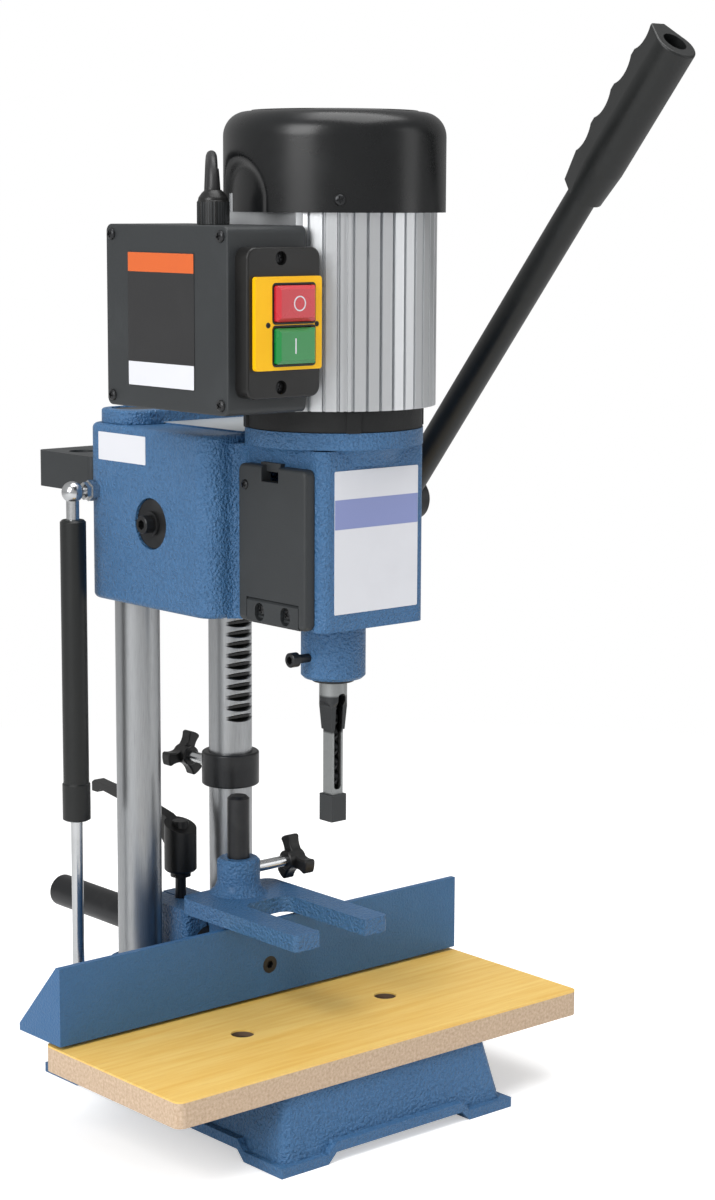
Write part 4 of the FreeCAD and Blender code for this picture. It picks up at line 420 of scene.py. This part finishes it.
def lathe(name, profile, spot, direction, steps=48):
    """Closed outline of distance out and height up, turned about a line through a spot."""
    shape = bmesh.new()
    ring = [shape.verts.new((out, 0, up)) for out, up in profile]
    edges = [shape.edges.new((ring[i], ring[(i + 1) % len(ring)])) for i in range(len(ring))]
    bmesh.ops.spin(shape, geom=ring + edges, cent=(0, 0, 0), axis=(0, 0, 1), angle=2 * math.pi,
                   steps=steps, use_duplicate=False)
    bmesh.ops.remove_doubles(shape, verts=shape.verts, dist=0.000001)
    mesh = mesh_of(name, shape)
    turn = Vector(direction).to_track_quat("Z", "Y").to_matrix().to_4x4()
    mesh.transform(Matrix.Translation(spot) @ turn)
    return crease(mesh, corner_degrees)


def rounded_outline(corner, across, up, radius, inset=0.0):
    """Points round a rectangle with rounded corners, set in from its edge."""
    corner_points = 6
    wide, high = across.length, up.length
    a, b = across.normalized(), up.normalized()
    outline = []
    for centre_a, centre_b, start in ((wide - radius, high - radius, 0), (radius, high - radius, 90),
                                      (radius, radius, 180), (wide - radius, radius, 270)):
        for step in range(corner_points):
            angle = math.radians(start + 90 / (corner_points - 1) * step)
            outline.append(corner + a * (centre_a + (radius - inset) * math.cos(angle))
                           + b * (centre_b + (radius - inset) * math.sin(angle)))
    return outline


def frame_round(name, corner, across, up, radius, line, thick, material, body):
    """Thin flat frame of one line's width inside a rounded rectangle."""
    across, up, corner = Vector(across), Vector(up), Vector(corner)
    out = across.cross(up).normalized() * thick
    shape = bmesh.new()
    rings = [[shape.verts.new(spot + lift)
              for spot in rounded_outline(corner, across, up, radius, inset)]
             for inset, lift in ((0.0, Vector()), (0.0, out), (line, out), (line, Vector()))]
    bridged(shape, rings, closed=True)
    return place(name, mesh_of(name, shape), material, body)


def film(name, corner, across, up, radius, thick, material, body):
    """Thin plate with rounded corners, from one corner along two directions."""
    across, up, corner = Vector(across), Vector(up), Vector(corner)
    out = across.cross(up).normalized() * thick
    shape = bmesh.new()
    outline = rounded_outline(corner, across, up, radius)
    face = shape.faces.new([shape.verts.new(spot) for spot in outline])
    moved = bmesh.ops.extrude_face_region(shape, geom=[face])["geom"]
    bmesh.ops.translate(shape, vec=out, verts=[v for v in moved if isinstance(v, bmesh.types.BMVert)])
    return place(name, mesh_of(name, shape), material, body)


# ---- geometry trees ----
def geometry_tree(name, inputs):
    """An empty geometry tree with what it is given, and the node that takes what it makes."""
    tree = bpy.data.node_groups.new(name, "GeometryNodeTree")
    tree.interface.new_socket("Geometry", in_out="INPUT", socket_type="NodeSocketGeometry")
    for label, kind, value in inputs:
        socket = tree.interface.new_socket(label, in_out="INPUT", socket_type=kind)
        if value is not None:
            socket.default_value = value
    tree.interface.new_socket("Geometry", in_out="OUTPUT", socket_type="NodeSocketGeometry")
    return tree, tree.nodes.new("NodeGroupInput").outputs, tree.nodes.new("NodeGroupOutput")


def joined(tree, x=0.0, y=0.0, z=0.0):
    """The vector of three numbers or sockets."""
    return feed(tree, add(tree, "ShaderNodeCombineXYZ"), {"X": x, "Y": y, "Z": z})


def on_points(tree, made, points, piece, turned, material):
    """Ends a tree: the piece on each point, turned, as one mesh with its material."""
    copies = feed(tree, add(tree, "GeometryNodeInstanceOnPoints"),
                  {"Points": points, "Instance": piece, "Rotation": turned})
    solid = feed(tree, add(tree, "GeometryNodeRealizeInstances"), {"Geometry": copies})
    dyed = feed(tree, add(tree, "GeometryNodeSetMaterial"), {"Geometry": solid, "Material": material})
    feed(tree, made, {0: dyed})


def cross_head_tree():
    """A domed head with a cross recess on each point, square to the point's own facing."""
    tree, given, made = geometry_tree(
        "cross-head screws",
        [("Head Radius", "NodeSocketFloat", 0.0038), ("Head Height", "NodeSocketFloat", 0.0024),
         ("Recess Width", "NodeSocketFloat", 0.001), ("Recess Depth", "NodeSocketFloat", 0.0013),
         ("Seed", "NodeSocketInt", 4), ("Material", "NodeSocketMaterial", None)])
    ball = feed(tree, add(tree, "GeometryNodeMeshUVSphere"),
                {"Segments": 28, "Rings": 16, "Radius": 1.0})
    spot = split(tree, add(tree, "GeometryNodeInputPosition").outputs[0])
    flatness, arm_length = 0.7, 1.15
    lift = maths(tree, "MULTIPLY", maths(tree, "SIGN", spot["Z"]),
                 maths(tree, "POWER", maths(tree, "ABSOLUTE", spot["Z"]), flatness))
    place_on = joined(tree, maths(tree, "MULTIPLY", spot["X"], given["Head Radius"]),
                      maths(tree, "MULTIPLY", spot["Y"], given["Head Radius"]),
                      maths(tree, "MULTIPLY", lift, given["Head Height"]))
    dome = feed(tree, add(tree, "GeometryNodeSetPosition"), {"Geometry": ball, "Position": place_on})
    arm = maths(tree, "MULTIPLY", given["Head Radius"], arm_length)
    deep = maths(tree, "MULTIPLY", given["Recess Depth"], 2.0)
    head = feed(tree, add(tree, "GeometryNodeMeshBoolean", operation="DIFFERENCE", solver="EXACT"),
                {"Mesh 1": dome})
    for size in ((arm, given["Recess Width"]), (given["Recess Width"], arm)):
        slot = feed(tree, add(tree, "GeometryNodeMeshCube"), {"Size": joined(tree, *size, deep)})
        slot = feed(tree, add(tree, "GeometryNodeTransform"),
                    {"Geometry": slot, "Translation": joined(tree, z=given["Head Height"])})
        tree.links.new(slot, head.node.inputs["Mesh 2"])
    facing = add(tree, "GeometryNodeInputNamedAttribute", data_type="FLOAT_VECTOR")
    facing.inputs["Name"].default_value = "facing"
    upright = feed(tree, add(tree, "FunctionNodeAlignRotationToVector", axis="Z"),
                   {"Vector": facing.outputs[0]})
    chance = add(tree, "FunctionNodeRandomValue", data_type="FLOAT")
    feed(tree, chance, {"Seed": given["Seed"]})
    spin = feed(tree, add(tree, "FunctionNodeAxisAngleToRotation"),
                {"Axis": (0, 0, 1), "Angle": maths(tree, "MULTIPLY", chance.outputs[1], math.pi / 2)})
    turned = feed(tree, add(tree, "FunctionNodeRotateRotation", rotation_space="LOCAL"),
                  {"Rotation": upright, "Rotate By": spin})
    on_points(tree, made, given["Geometry"], head, turned, given["Material"])
    return tree


def ring_of_ribs_tree():
    """Upright blocks in a ring round the origin's vertical: a nut's knurls, or a cutter for slots."""
    tree, given, made = geometry_tree(
        "ring of ribs",
        [("Count", "NodeSocketInt", 36), ("Ring Radius", "NodeSocketFloat", 0.0104),
         ("Rib Width", "NodeSocketFloat", 0.0009), ("Rib Depth", "NodeSocketFloat", 0.0012),
         ("Rib Height", "NodeSocketFloat", 0.012), ("Material", "NodeSocketMaterial", None)])
    circle = feed(tree, add(tree, "GeometryNodeMeshCircle"),
                  {"Vertices": given["Count"], "Radius": given["Ring Radius"]})
    rib = feed(tree, add(tree, "GeometryNodeMeshCube"),
               {"Size": joined(tree, given["Rib Depth"], given["Rib Width"], given["Rib Height"])})
    out = add(tree, "GeometryNodeInputPosition").outputs[0]
    turned = feed(tree, add(tree, "FunctionNodeAlignRotationToVector", axis="X"), {"Vector": out})
    on_points(tree, made, circle, rib, turned, given["Material"])
    return tree


def evaluated_mesh(holder):
    """The plain mesh of an object, with its modifiers done. The object is removed."""
    made = bpy.data.meshes.new_from_object(holder.evaluated_get(bpy.context.evaluated_depsgraph_get()))
    bpy.data.objects.remove(holder)
    return made


def grown(name, tree, mesh, **settings):
    """Runs a geometry tree on a mesh and returns the plain mesh that it makes."""
    holder = bpy.data.objects.new(name, mesh)
    bpy.context.scene.collection.objects.link(holder)
    modifier = holder.modifiers.new(name, "NODES")
    modifier.node_group = tree
    for item in tree.interface.items_tree:
        label = item.name.replace(" ", "_")
        if item.in_out == "INPUT" and label in settings:
            modifier[item.identifier] = settings[label]
    return crease(evaluated_mesh(holder), soft_degrees)


cross_heads = cross_head_tree()
ribs_round = ring_of_ribs_tree()


def screws(name, places, radius, height, material, body, width=0.001):
    """Cross-head screws, each given as the middle of its seat and the way that it faces."""
    recess_part = 0.55  # of the head's height
    mesh = bpy.data.meshes.new(name)
    mesh.from_pydata([spot for spot, facing in places], [], [])
    facings = mesh.attributes.new("facing", "FLOAT_VECTOR", "POINT")
    facings.data.foreach_set("vector", [number for spot, facing in places for number in facing])
    made = grown(name, cross_heads, mesh, Head_Radius=radius, Head_Height=height, Recess_Width=width,
                 Recess_Depth=height * recess_part, Material=material)
    return place(name, made, material, body)


def low_high(name):
    """The two corners of a node's box."""
    low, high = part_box(name)
    return Vector(low), Vector(high)


# ---- small screws: first the four of the box lid and the three of the motor cap ----
left, right, front, back = (-1, 0, 0), (1, 0, 0), (0, -1, 0), (0, 1, 0)
head_r, head_height, head_sink = 0.0038, 0.0024, 0.0002
lid_low, lid_high = low_high("box_lid")
cap_low, cap_high = low_high("motor_cap")
barrel_y, cap_radius = (cap_low.y + cap_high.y) / 2, cap_high.x
lid_inset, cap_screw_lift, cap_screw_sink = 0.0065, 0.008, 0.0003
small_screws = [((lid_low.x, y, z), left)
                for y in (lid_low.y + lid_inset, lid_high.y - lid_inset)
                for z in (lid_low.z + lid_inset, lid_high.z - lid_inset)]
for degrees in (-128, -8, 112):
    outward = Vector((math.cos(math.radians(degrees)), math.sin(math.radians(degrees)), 0))
    seat = Vector((0, barrel_y, cap_low.z + cap_screw_lift)) + outward * (cap_radius - cap_screw_sink)
    small_screws.append((seat, outward))
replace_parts(screws("cover_screw_heads", small_screws, head_r, head_height, black_oxide, "head"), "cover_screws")

# the two that hold the switch, sunk in its housing, and the two tiny ones in its plate
housing_low, housing_high = low_high("switch_housing")
stop_low, stop_high = low_high("stop_button")
start_low, start_high = low_high("start_button")
bezel_front = low_high("switch_bezel")[0].y
mount_x, mount_inset, mount_sink, mount_r, mount_height = -0.093, 0.0068, 0.004, 0.0037, 0.002
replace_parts(screws("switch_mount_screws",
                   [((mount_x, housing_low.y + mount_sink, z), front)
                    for z in (housing_low.z + mount_inset, housing_high.z - mount_inset)],
                   mount_r, mount_height, black_oxide, "head"), "switch_screws")
tiny_r, tiny_height, tiny_cross, tiny_left, tiny_right = 0.0018, 0.0008, 0.0005, 0.005, 0.0026
tiny_places = [((x, bezel_front + head_sink, (start_low.z + stop_high.z) / 2), front)
               for x in (stop_low.x - tiny_left, stop_high.x + tiny_right)]
screws("switch_plate_screws", tiny_places, tiny_r, tiny_height, black_oxide, "head",
       tiny_cross)

# the two of the door's hinge, and the one of its catch
hinge_low, hinge_high = low_high("hinge_screws")
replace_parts(screws("hinge_screw_heads",
                   [((hinge_low.x + head_height, y, (hinge_low.z + hinge_high.z) / 2), left)
                    for y in (hinge_low.y + head_r, hinge_high.y - head_r)],
                   head_r, head_height, black_oxide, "head"), "hinge_screws")
door_side = low_high("chuck_door")[0].x
catch_y, catch_z, catch_r, catch_height = -0.0367, 0.442, 0.0034, 0.0018
screws("door_catch_screw", [((door_side + head_sink, catch_y, catch_z), left)], catch_r, catch_height,
       black_oxide, "chuck_door")

# ---- motor cap ----
cap_edge_r, cap_wall, cap_lip, cap_lip_r, cap_top_sink = 0.016, 0.0025, 0.0008, 0.0555, 0.0012
slot_count, slot_ring_r, slot_width, slot_length, slot_cut = 20, 0.036, 0.0045, 0.028, 0.02
dent_depth, dent_inner, dent_outer = 0.004, 0.0200, 0.0285
dent_azimuth, dent_z = math.radians(172), cap_low.z + 0.0075


def dented(spot):
    """A point of the drum's side, moved inwards where the arched dent by the lead lies."""
    out = math.hypot(spot.x, spot.y - barrel_y)
    along = (math.atan2(spot.y - barrel_y, spot.x) - dent_azimuth + math.pi) % (2 * math.pi) - math.pi
    reach = math.hypot(along * cap_radius, max(spot.z - dent_z, 0.0))
    part = min(max((reach - dent_inner) / (dent_outer - dent_inner), 0.0), 1.0)
    keep = 1 - dent_depth * (1 - part * part * (3 - 2 * part)) / out
    return Vector((spot.x * keep, barrel_y + (spot.y - barrel_y) * keep, spot.z))


def carved(name, mesh, tool, wall):
    """Gives an open shell its wall, cuts the tool out of it and returns the plain mesh."""
    holder, cutter = bpy.data.objects.new(name, mesh), bpy.data.objects.new("cutter", tool)
    for piece in (holder, cutter):
        bpy.context.scene.collection.objects.link(piece)
    thicken = holder.modifiers.new("wall", "SOLIDIFY")
    thicken.thickness = wall
    thicken.offset = -1.0
    cut = holder.modifiers.new("cut", "BOOLEAN")
    cut.operation = "DIFFERENCE"
    cut.object = cutter
    made = evaluated_mesh(holder)
    bpy.data.objects.remove(cutter)
    return crease(made, soft_degrees)


def motor_cowl():
    """Thin moulded drum with a rounded top edge, a low raised disc, its air slots and the dent."""
    side_steps, edge_steps, turn_steps = 44, 12, 180
    top = cap_high.z - cap_top_sink
    side = top - cap_edge_r
    rows = [(cap_radius, cap_low.z + (side - cap_low.z) * step / side_steps)
            for step in range(side_steps + 1)]
    for step in range(1, edge_steps + 1):
        angle = math.pi / 2 * step / edge_steps
        rows.append((cap_radius - cap_edge_r * (1 - math.cos(angle)),
                     side + cap_edge_r * math.sin(angle)))
    rows.append((cap_lip_r, top))
    disc_rings = (cap_lip_r - cap_lip, 0.054, 0.018, 0.0)
    rows += [(out, top + cap_lip) for out in disc_rings]
    shape = bmesh.new()
    ring = [shape.verts.new((out, barrel_y, up)) for out, up in rows]
    edges = [shape.edges.new(pair) for pair in zip(ring, ring[1:])]
    bmesh.ops.spin(shape, geom=ring + edges, cent=(0, barrel_y, 0), axis=(0, 0, 1), angle=2 * math.pi,
                   steps=turn_steps, use_duplicate=False)
    bmesh.ops.remove_doubles(shape, verts=shape.verts, dist=0.000005)
    for vertex in shape.verts:
        if vertex.co.z < side:
            vertex.co = dented(vertex.co)
    slots = grown("air slots", ribs_round, bpy.data.meshes.new("air slots"), Count=slot_count,
                  Ring_Radius=slot_ring_r, Rib_Width=slot_width, Rib_Depth=slot_length,
                  Rib_Height=slot_cut)
    slots.transform(Matrix.Translation((0, barrel_y, top)))
    return carved("motor_cowl", mesh_of("motor_cowl", shape), slots, cap_wall)


cowl = place("motor_cowl", motor_cowl(), gloss_black, "head")
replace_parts(cowl, "motor_cap")

# ---- ribs round the gland ----
gland_exit = Vector((-0.091, -0.051, low_high("cable_gland")[1].z))
rib_count, rib_ring_r, rib_foot, rib_height = 40, 0.0099, lid_high.z + 0.0005, 0.0138
rib_mesh = grown("gland_ribs", ribs_round, bpy.data.meshes.new("ribs"), Count=rib_count,
                 Ring_Radius=rib_ring_r, Rib_Height=rib_height, Material=black_plastic)
rib_mesh.transform(Matrix.Translation((gland_exit.x, gland_exit.y, rib_foot + rib_height / 2)))
place("gland_ribs", rib_mesh, black_plastic, "head")

# ---- marks on the buttons: a ring to stop and a bar to start ----
skin_thick, ring_r, ring_line, bar_width, bar_corner_r = 0.00015, 0.0048, 0.0008, 0.0009, 0.0002
ring_aside, bar_aside = 0.0012, -0.002


def face_middle(low, high, aside):
    """The middle of a button's front, and a little aside."""
    return Vector(((low.x + high.x) / 2 + aside, low.y, (low.z + high.z) / 2))


ring_outline = [(ring_r - ring_line, -skin_thick), (ring_r, -skin_thick), (ring_r, skin_thick),
                (ring_r - ring_line, skin_thick)]
ring_middle = face_middle(stop_low, stop_high, ring_aside)
place("stop_mark", lathe("stop_mark", ring_outline, ring_middle, front), white_film, "stop_button")
bar_corner = face_middle(start_low, start_high, bar_aside) + Vector((-bar_width / 2, 0, -ring_r))
film("start_mark", bar_corner, (bar_width, 0, 0), (0, 0, 2 * ring_r), bar_corner_r, skin_thick,
     white_film, "start_button")

# ---- the mains lead, its coil and the way into the plug ----
lead_radius = 0.00325
hump = ((0, 0, 0), (0, 0, 0.013), (0.0085, 0.012, 0.0225), (0.0245, 0.0345, 0.0215),
        (0.034, 0.048, 0.004))
lead_points = [gland_exit + Vector(step) for step in hump]
lead_points += [(-0.049, 0.010, 0.604), (-0.044, 0.024, 0.566), (-0.033, 0.044, 0.530),
                (-0.014, 0.079, 0.506), (0.012, 0.116, 0.500), (0.030, 0.152, 0.492),
                (0.028, 0.190, 0.468), (0.033, 0.210, 0.424), (0.046, 0.219, 0.370),
                (0.049, 0.216, 0.300), (0.050, 0.218, 0.240), (0.051, 0.216, 0.180),
                (0.050, 0.218, 0.124), (0.049, 0.215, 0.076), (0.050, 0.210, 0.046),
                (0.050, 0.209, 0.032), (0.043, 0.209, 0.020), (0.031, 0.2105, 0.0128)]
coil_centre = Vector((0.050, 0.245, 0.0))
into_plug = [(0.0892, 0.228, 0.0112), (0.0892, 0.2148, 0.013)]


def coil_points():
    """Three and three quarter turns: inner top, inner low, outer low, then outer top to the plug."""
    inner_r, outer_r, low_z, top_z = 0.0328, 0.0392, 0.0033, 0.0097
    lanes = [(inner_r, top_z), (inner_r, low_z), (outer_r, low_z), (outer_r, top_z)]
    last_lane, turns, per_turn, first_step = 3, 3.75, 14, 2
    change_at, change_over = 0.82, 0.18  # in parts of a turn
    points = []
    for step in range(first_step, int(turns * per_turn) + 1):
        turn = step / per_turn
        lane = min(int(turn), last_lane)
        part = min(max((turn - lane - change_at) / change_over, 0.0), 1.0) if lane < last_lane else 0.0
        following = lanes[min(lane + 1, last_lane)]
        radius = lanes[lane][0] + (following[0] - lanes[lane][0]) * part
        height = lanes[lane][1] + (following[1] - lanes[lane][1]) * part
        angle = math.radians(-90) - 2 * math.pi * turn
        out, along = radius * math.cos(angle), radius * math.sin(angle)
        points.append(coil_centre + Vector((out, along, height)))
    return points


def smooth_line(name, route, thick):
    """A NURBS line with the route as its control points, as a mesh: a tube, or its bare path."""
    curve = bpy.data.curves.new(name, "CURVE")
    curve.dimensions = "3D"
    curve.bevel_depth = thick
    curve.bevel_resolution = 5
    curve.use_fill_caps = True
    curve.resolution_u = 10
    spline = curve.splines.new("NURBS")
    spline.points.add(len(route) - 1)
    for point, spot in zip(spline.points, route):
        point.co = (*spot, 1.0)
    spline.order_u = 3
    spline.use_endpoint_u = True
    holder = bpy.data.objects.new(name, curve)
    bpy.context.scene.collection.objects.link(holder)
    return evaluated_mesh(holder)


def mains_cord():
    """The lead from the gland to the plug as one tube. Returns the points that it passes."""
    route = lead_points + coil_points() + into_plug
    path = [tuple(vertex.co) for vertex in smooth_line("lead path", route, 0.0).vertices]
    tube = smooth_line("mains_cord", route, lead_radius)
    tube.polygons.foreach_set("use_smooth", [True] * len(tube.polygons))
    piece = dressed("mains_cord", tube, rubber)
    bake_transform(piece)
    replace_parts(piece, "mains_lead", "mains_coil")
    return path


lead_path = mains_cord()


def tapered_sleeve(path, length, buried, foot_r, mouth_r, sides=24):
    """A soft sleeve from inside the gland along the first stretch of the lead."""
    spots = [Vector(path[0]) - Vector((0, 0, buried))] + [Vector(spot) for spot in path]
    rings, run = [], 0.0
    for index, spot in enumerate(spots):
        if index:
            run += (spot - spots[index - 1]).length
        if run > length:
            break
        along = (spots[index + 1] - spots[max(index - 1, 0)]).normalized()
        rings.append((spot, along, foot_r + (mouth_r - foot_r) * run / length))
    shape = bmesh.new()
    loops = []
    for spot, along, radius in rings:
        turn = along.to_track_quat("Z", "Y")
        loops.append([])
        for step in range(sides):
            angle = 2 * math.pi * step / sides
            out = turn @ Vector((radius * math.cos(angle), radius * math.sin(angle), 0))
            loops[-1].append(shape.verts.new(spot + out))
    bridged(shape, loops)
    shape.faces.new(loops[0])
    shape.faces.new(loops[-1])
    return crease(mesh_of("lead_sleeve", shape), soft_degrees)


sleeve = tapered_sleeve(lead_path, length=0.021, buried=0.007, foot_r=0.0052, mouth_r=0.0038)
place("lead_sleeve", sleeve, rubber, "head")

# ---- dark frames round the buttons: painted shade of the gaps ----
gap, gap_line, gap_corner_r = 0.0017, 0.0012, 0.0026
# Each frame is a flat dark ring on the plate, painted shade of the gap round its button.
for label, low, high in (("stop_gap", stop_low, stop_high), ("start_gap", start_low, start_high)):
    frame_round(label, (low.x - gap, bezel_front, low.z - gap), (high.x - low.x + 2 * gap, 0, 0),
                (0, 0, high.z - low.z + 2 * gap), gap_corner_r, gap_line, skin_thick, switch_black,
                "head")

# ---- bright studs of the two knobs ----
stud_r, stud_length = 0.004, 0.0275
stud_outline = [(0.0, 0.0), (stud_r, 0.0), (stud_r, stud_length), (0.0, stud_length)]
for label, foot, direction, body in (
        ("hold_down_stud", (0.0158, 0.040, 0.1525), right, "hold_down_knob"),
        ("stop_stud", (0.042, 0.1238, 0.212), back, "stop_knob")):
    place(label, lathe(label, stud_outline, foot, direction), bright_steel, body)

# ---- milled top of the head, as far back as the cover ----
head_top, milled_front_y, cover_front_y = 0.4747, -0.0138, 0.075
milled_half, milled_corner_r = 0.0383, 0.0005
film("milled_top", (-milled_half, milled_front_y, head_top), (2 * milled_half, 0, 0),
     (0, cover_front_y - milled_front_y, 0), milled_corner_r, skin_thick, milled_iron, "head")

# ---- plates that carry no words: corner, wide, high, corner radius, thickness, look and slot ----
plate_thick, band_thick = 0.0003, 0.0001
for label, corner, wide, high, corner_r, thick, look, record_slot in (
        ("front_plate", (-0.0352, -0.106, 0.3604), (0.0729, 0, 0), 0.0944, 0.001, plate_thick,
         white_film, "blue_paint"),
        ("front_plate_band", (-0.0350, -0.1063, 0.4165), (0.0725, 0, 0), 0.0195, 0.0004, band_thick,
         violet_film, "blue_paint"),
        ("side_plate", (-0.071, 0.1065, 0.4485), (0, -0.055, 0), 0.0195, 0.0006, plate_thick,
         white_film, "blue_paint"),
        ("box_plate", (-0.126, -0.0062, 0.5095), (0, -0.0702, 0), 0.0862, 0.0008, plate_thick,
         dark_film, "black_plastic"),
        ("box_plate_band", (-0.1263, -0.0066, 0.583), (0, -0.0694, 0), 0.0122, 0.0004, band_thick,
         orange_film, "black_plastic"),
        ("box_plate_strip", (-0.1263, -0.0066, 0.510), (0, -0.0694, 0), 0.0152, 0.0004, band_thick,
         white_film, "black_plastic")):
    film(label, corner, wide, (0, 0, high), corner_r, thick, look, "head")

# ---- floor, light and camera ----
floor_half, floor_gap = 6.0, 0.0002
floor_mesh = bpy.data.meshes.new("floor")
floor_shape = bmesh.new()
bmesh.ops.create_grid(floor_shape, x_segments=1, y_segments=1, size=floor_half)
floor_shape.to_mesh(floor_mesh)
floor_shape.free()
floor = bpy.data.objects.new("floor", floor_mesh)
bpy.context.scene.collection.objects.link(floor)
floor.location = (0, 0, -floor_gap)


def seen_directly(tree):
    """1 for what the camera sees, straight or through glass, else 0."""
    path = tree.nodes.new("ShaderNodeLightPath").outputs
    return maths(tree, "MAXIMUM", path["Is Camera Ray"], path["Is Transmission Ray"])


# The floor shows the shadow near the object, and fades into plain white further out.
near, far_out, floor_glow = 0.5, 1.3, 0.45
floor_paint, floor_tree, floor_bsdf, floor_coords = new_material("floor paint")
floor_seen = seen_directly(floor_tree)
glow = maths(floor_tree, "MULTIPLY", floor_seen, floor_glow)
feed(floor_tree, floor_bsdf, {"Base Color": (0.86, 0.86, 0.86, 1), "Roughness": 0.9,
                              "Specular IOR Level": 0.0, "Emission Color": (1, 1, 1, 1),
                              "Emission Strength": glow})
distance = add(floor_tree, "ShaderNodeVectorMath", operation="LENGTH")
feed(floor_tree, distance, {0: floor_coords})
far = span(floor_tree, distance.outputs["Value"], near, far_out, 0.0, 1.0)
plain_white = add(floor_tree, "ShaderNodeEmission")
floor_mix = add(floor_tree, "ShaderNodeMixShader")
feed(floor_tree, floor_mix, {0: maths(floor_tree, "MULTIPLY", far, floor_seen),
                             1: floor_bsdf.outputs["BSDF"], 2: plain_white.outputs["Emission"]})
feed(floor_tree, floor_tree.nodes["Material Output"], {"Surface": floor_mix.outputs["Shader"]})
floor.data.materials.append(floor_paint)

world = bpy.data.worlds.new("studio")
bpy.context.scene.world = world
world.use_nodes = True
sky_tree = world.node_tree
# The sky lights the left side more than the right, and the camera sees it as plain white.
left_sky, right_sky, seen_sky = 0.56, 0.3, 1.0
sky_way = split(sky_tree, add(sky_tree, "ShaderNodeTexCoord").outputs["Generated"])
sky_light = span(sky_tree, sky_way["X"], -0.3, 0.9, left_sky, right_sky)
sky_strength = span(sky_tree, seen_directly(sky_tree), 0.0, 1.0, sky_light, seen_sky)
feed(sky_tree, sky_tree.nodes["Background"], {"Color": (1, 1, 1, 1), "Strength": sky_strength})


def soft_light(name, spot, target, size, power):
    """A rectangular lamp at a spot, turned to a target, of a size in metres and a power in watts."""
    lamp = bpy.data.lights.new(name, "AREA")
    lamp.shape = "RECTANGLE"
    lamp.size, lamp.size_y = size
    lamp.energy = power
    holder = bpy.data.objects.new(name, lamp)
    bpy.context.scene.collection.objects.link(holder)
    holder.location = spot
    holder.rotation_mode = "QUATERNION"
    holder.rotation_quaternion = (Vector(target) - Vector(spot)).to_track_quat("-Z", "Y")


soft_light("left key", (-2.1, -0.6, 1.5), (0, 0, 0.35), (1.2, 1.6), 42.0)
soft_light("overhead", (0.2, -0.3, 2.3), (0, 0, 0.3), (1.6, 1.6), 31.0)
soft_light("right fill", (1.6, -1.8, 0.9), (0, 0, 0.35), (0.8, 1.6), 6.0)

camera_data = bpy.data.cameras.new("camera")
focal_pixels, frame_pixels, sensor_millimetres = 2546.76, 1200, 36
camera_data.lens = focal_pixels / frame_pixels * sensor_millimetres
camera = bpy.data.objects.new("camera", camera_data)
bpy.context.scene.collection.objects.link(camera)
heading, pitch, roll = math.radians(-41.06), math.radians(9.05), math.radians(0.26)
camera.location = (-1.10279, -1.35466, 0.63251)
camera.rotation_euler = (Matrix.Rotation(heading, 3, "Z") @ Matrix.Rotation(math.pi / 2 - pitch, 3, "X")
                         @ Matrix.Rotation(roll, 3, "Z")).to_euler()
bpy.context.scene.camera = camera
bpy.context.scene.view_settings.view_transform = "Standard"
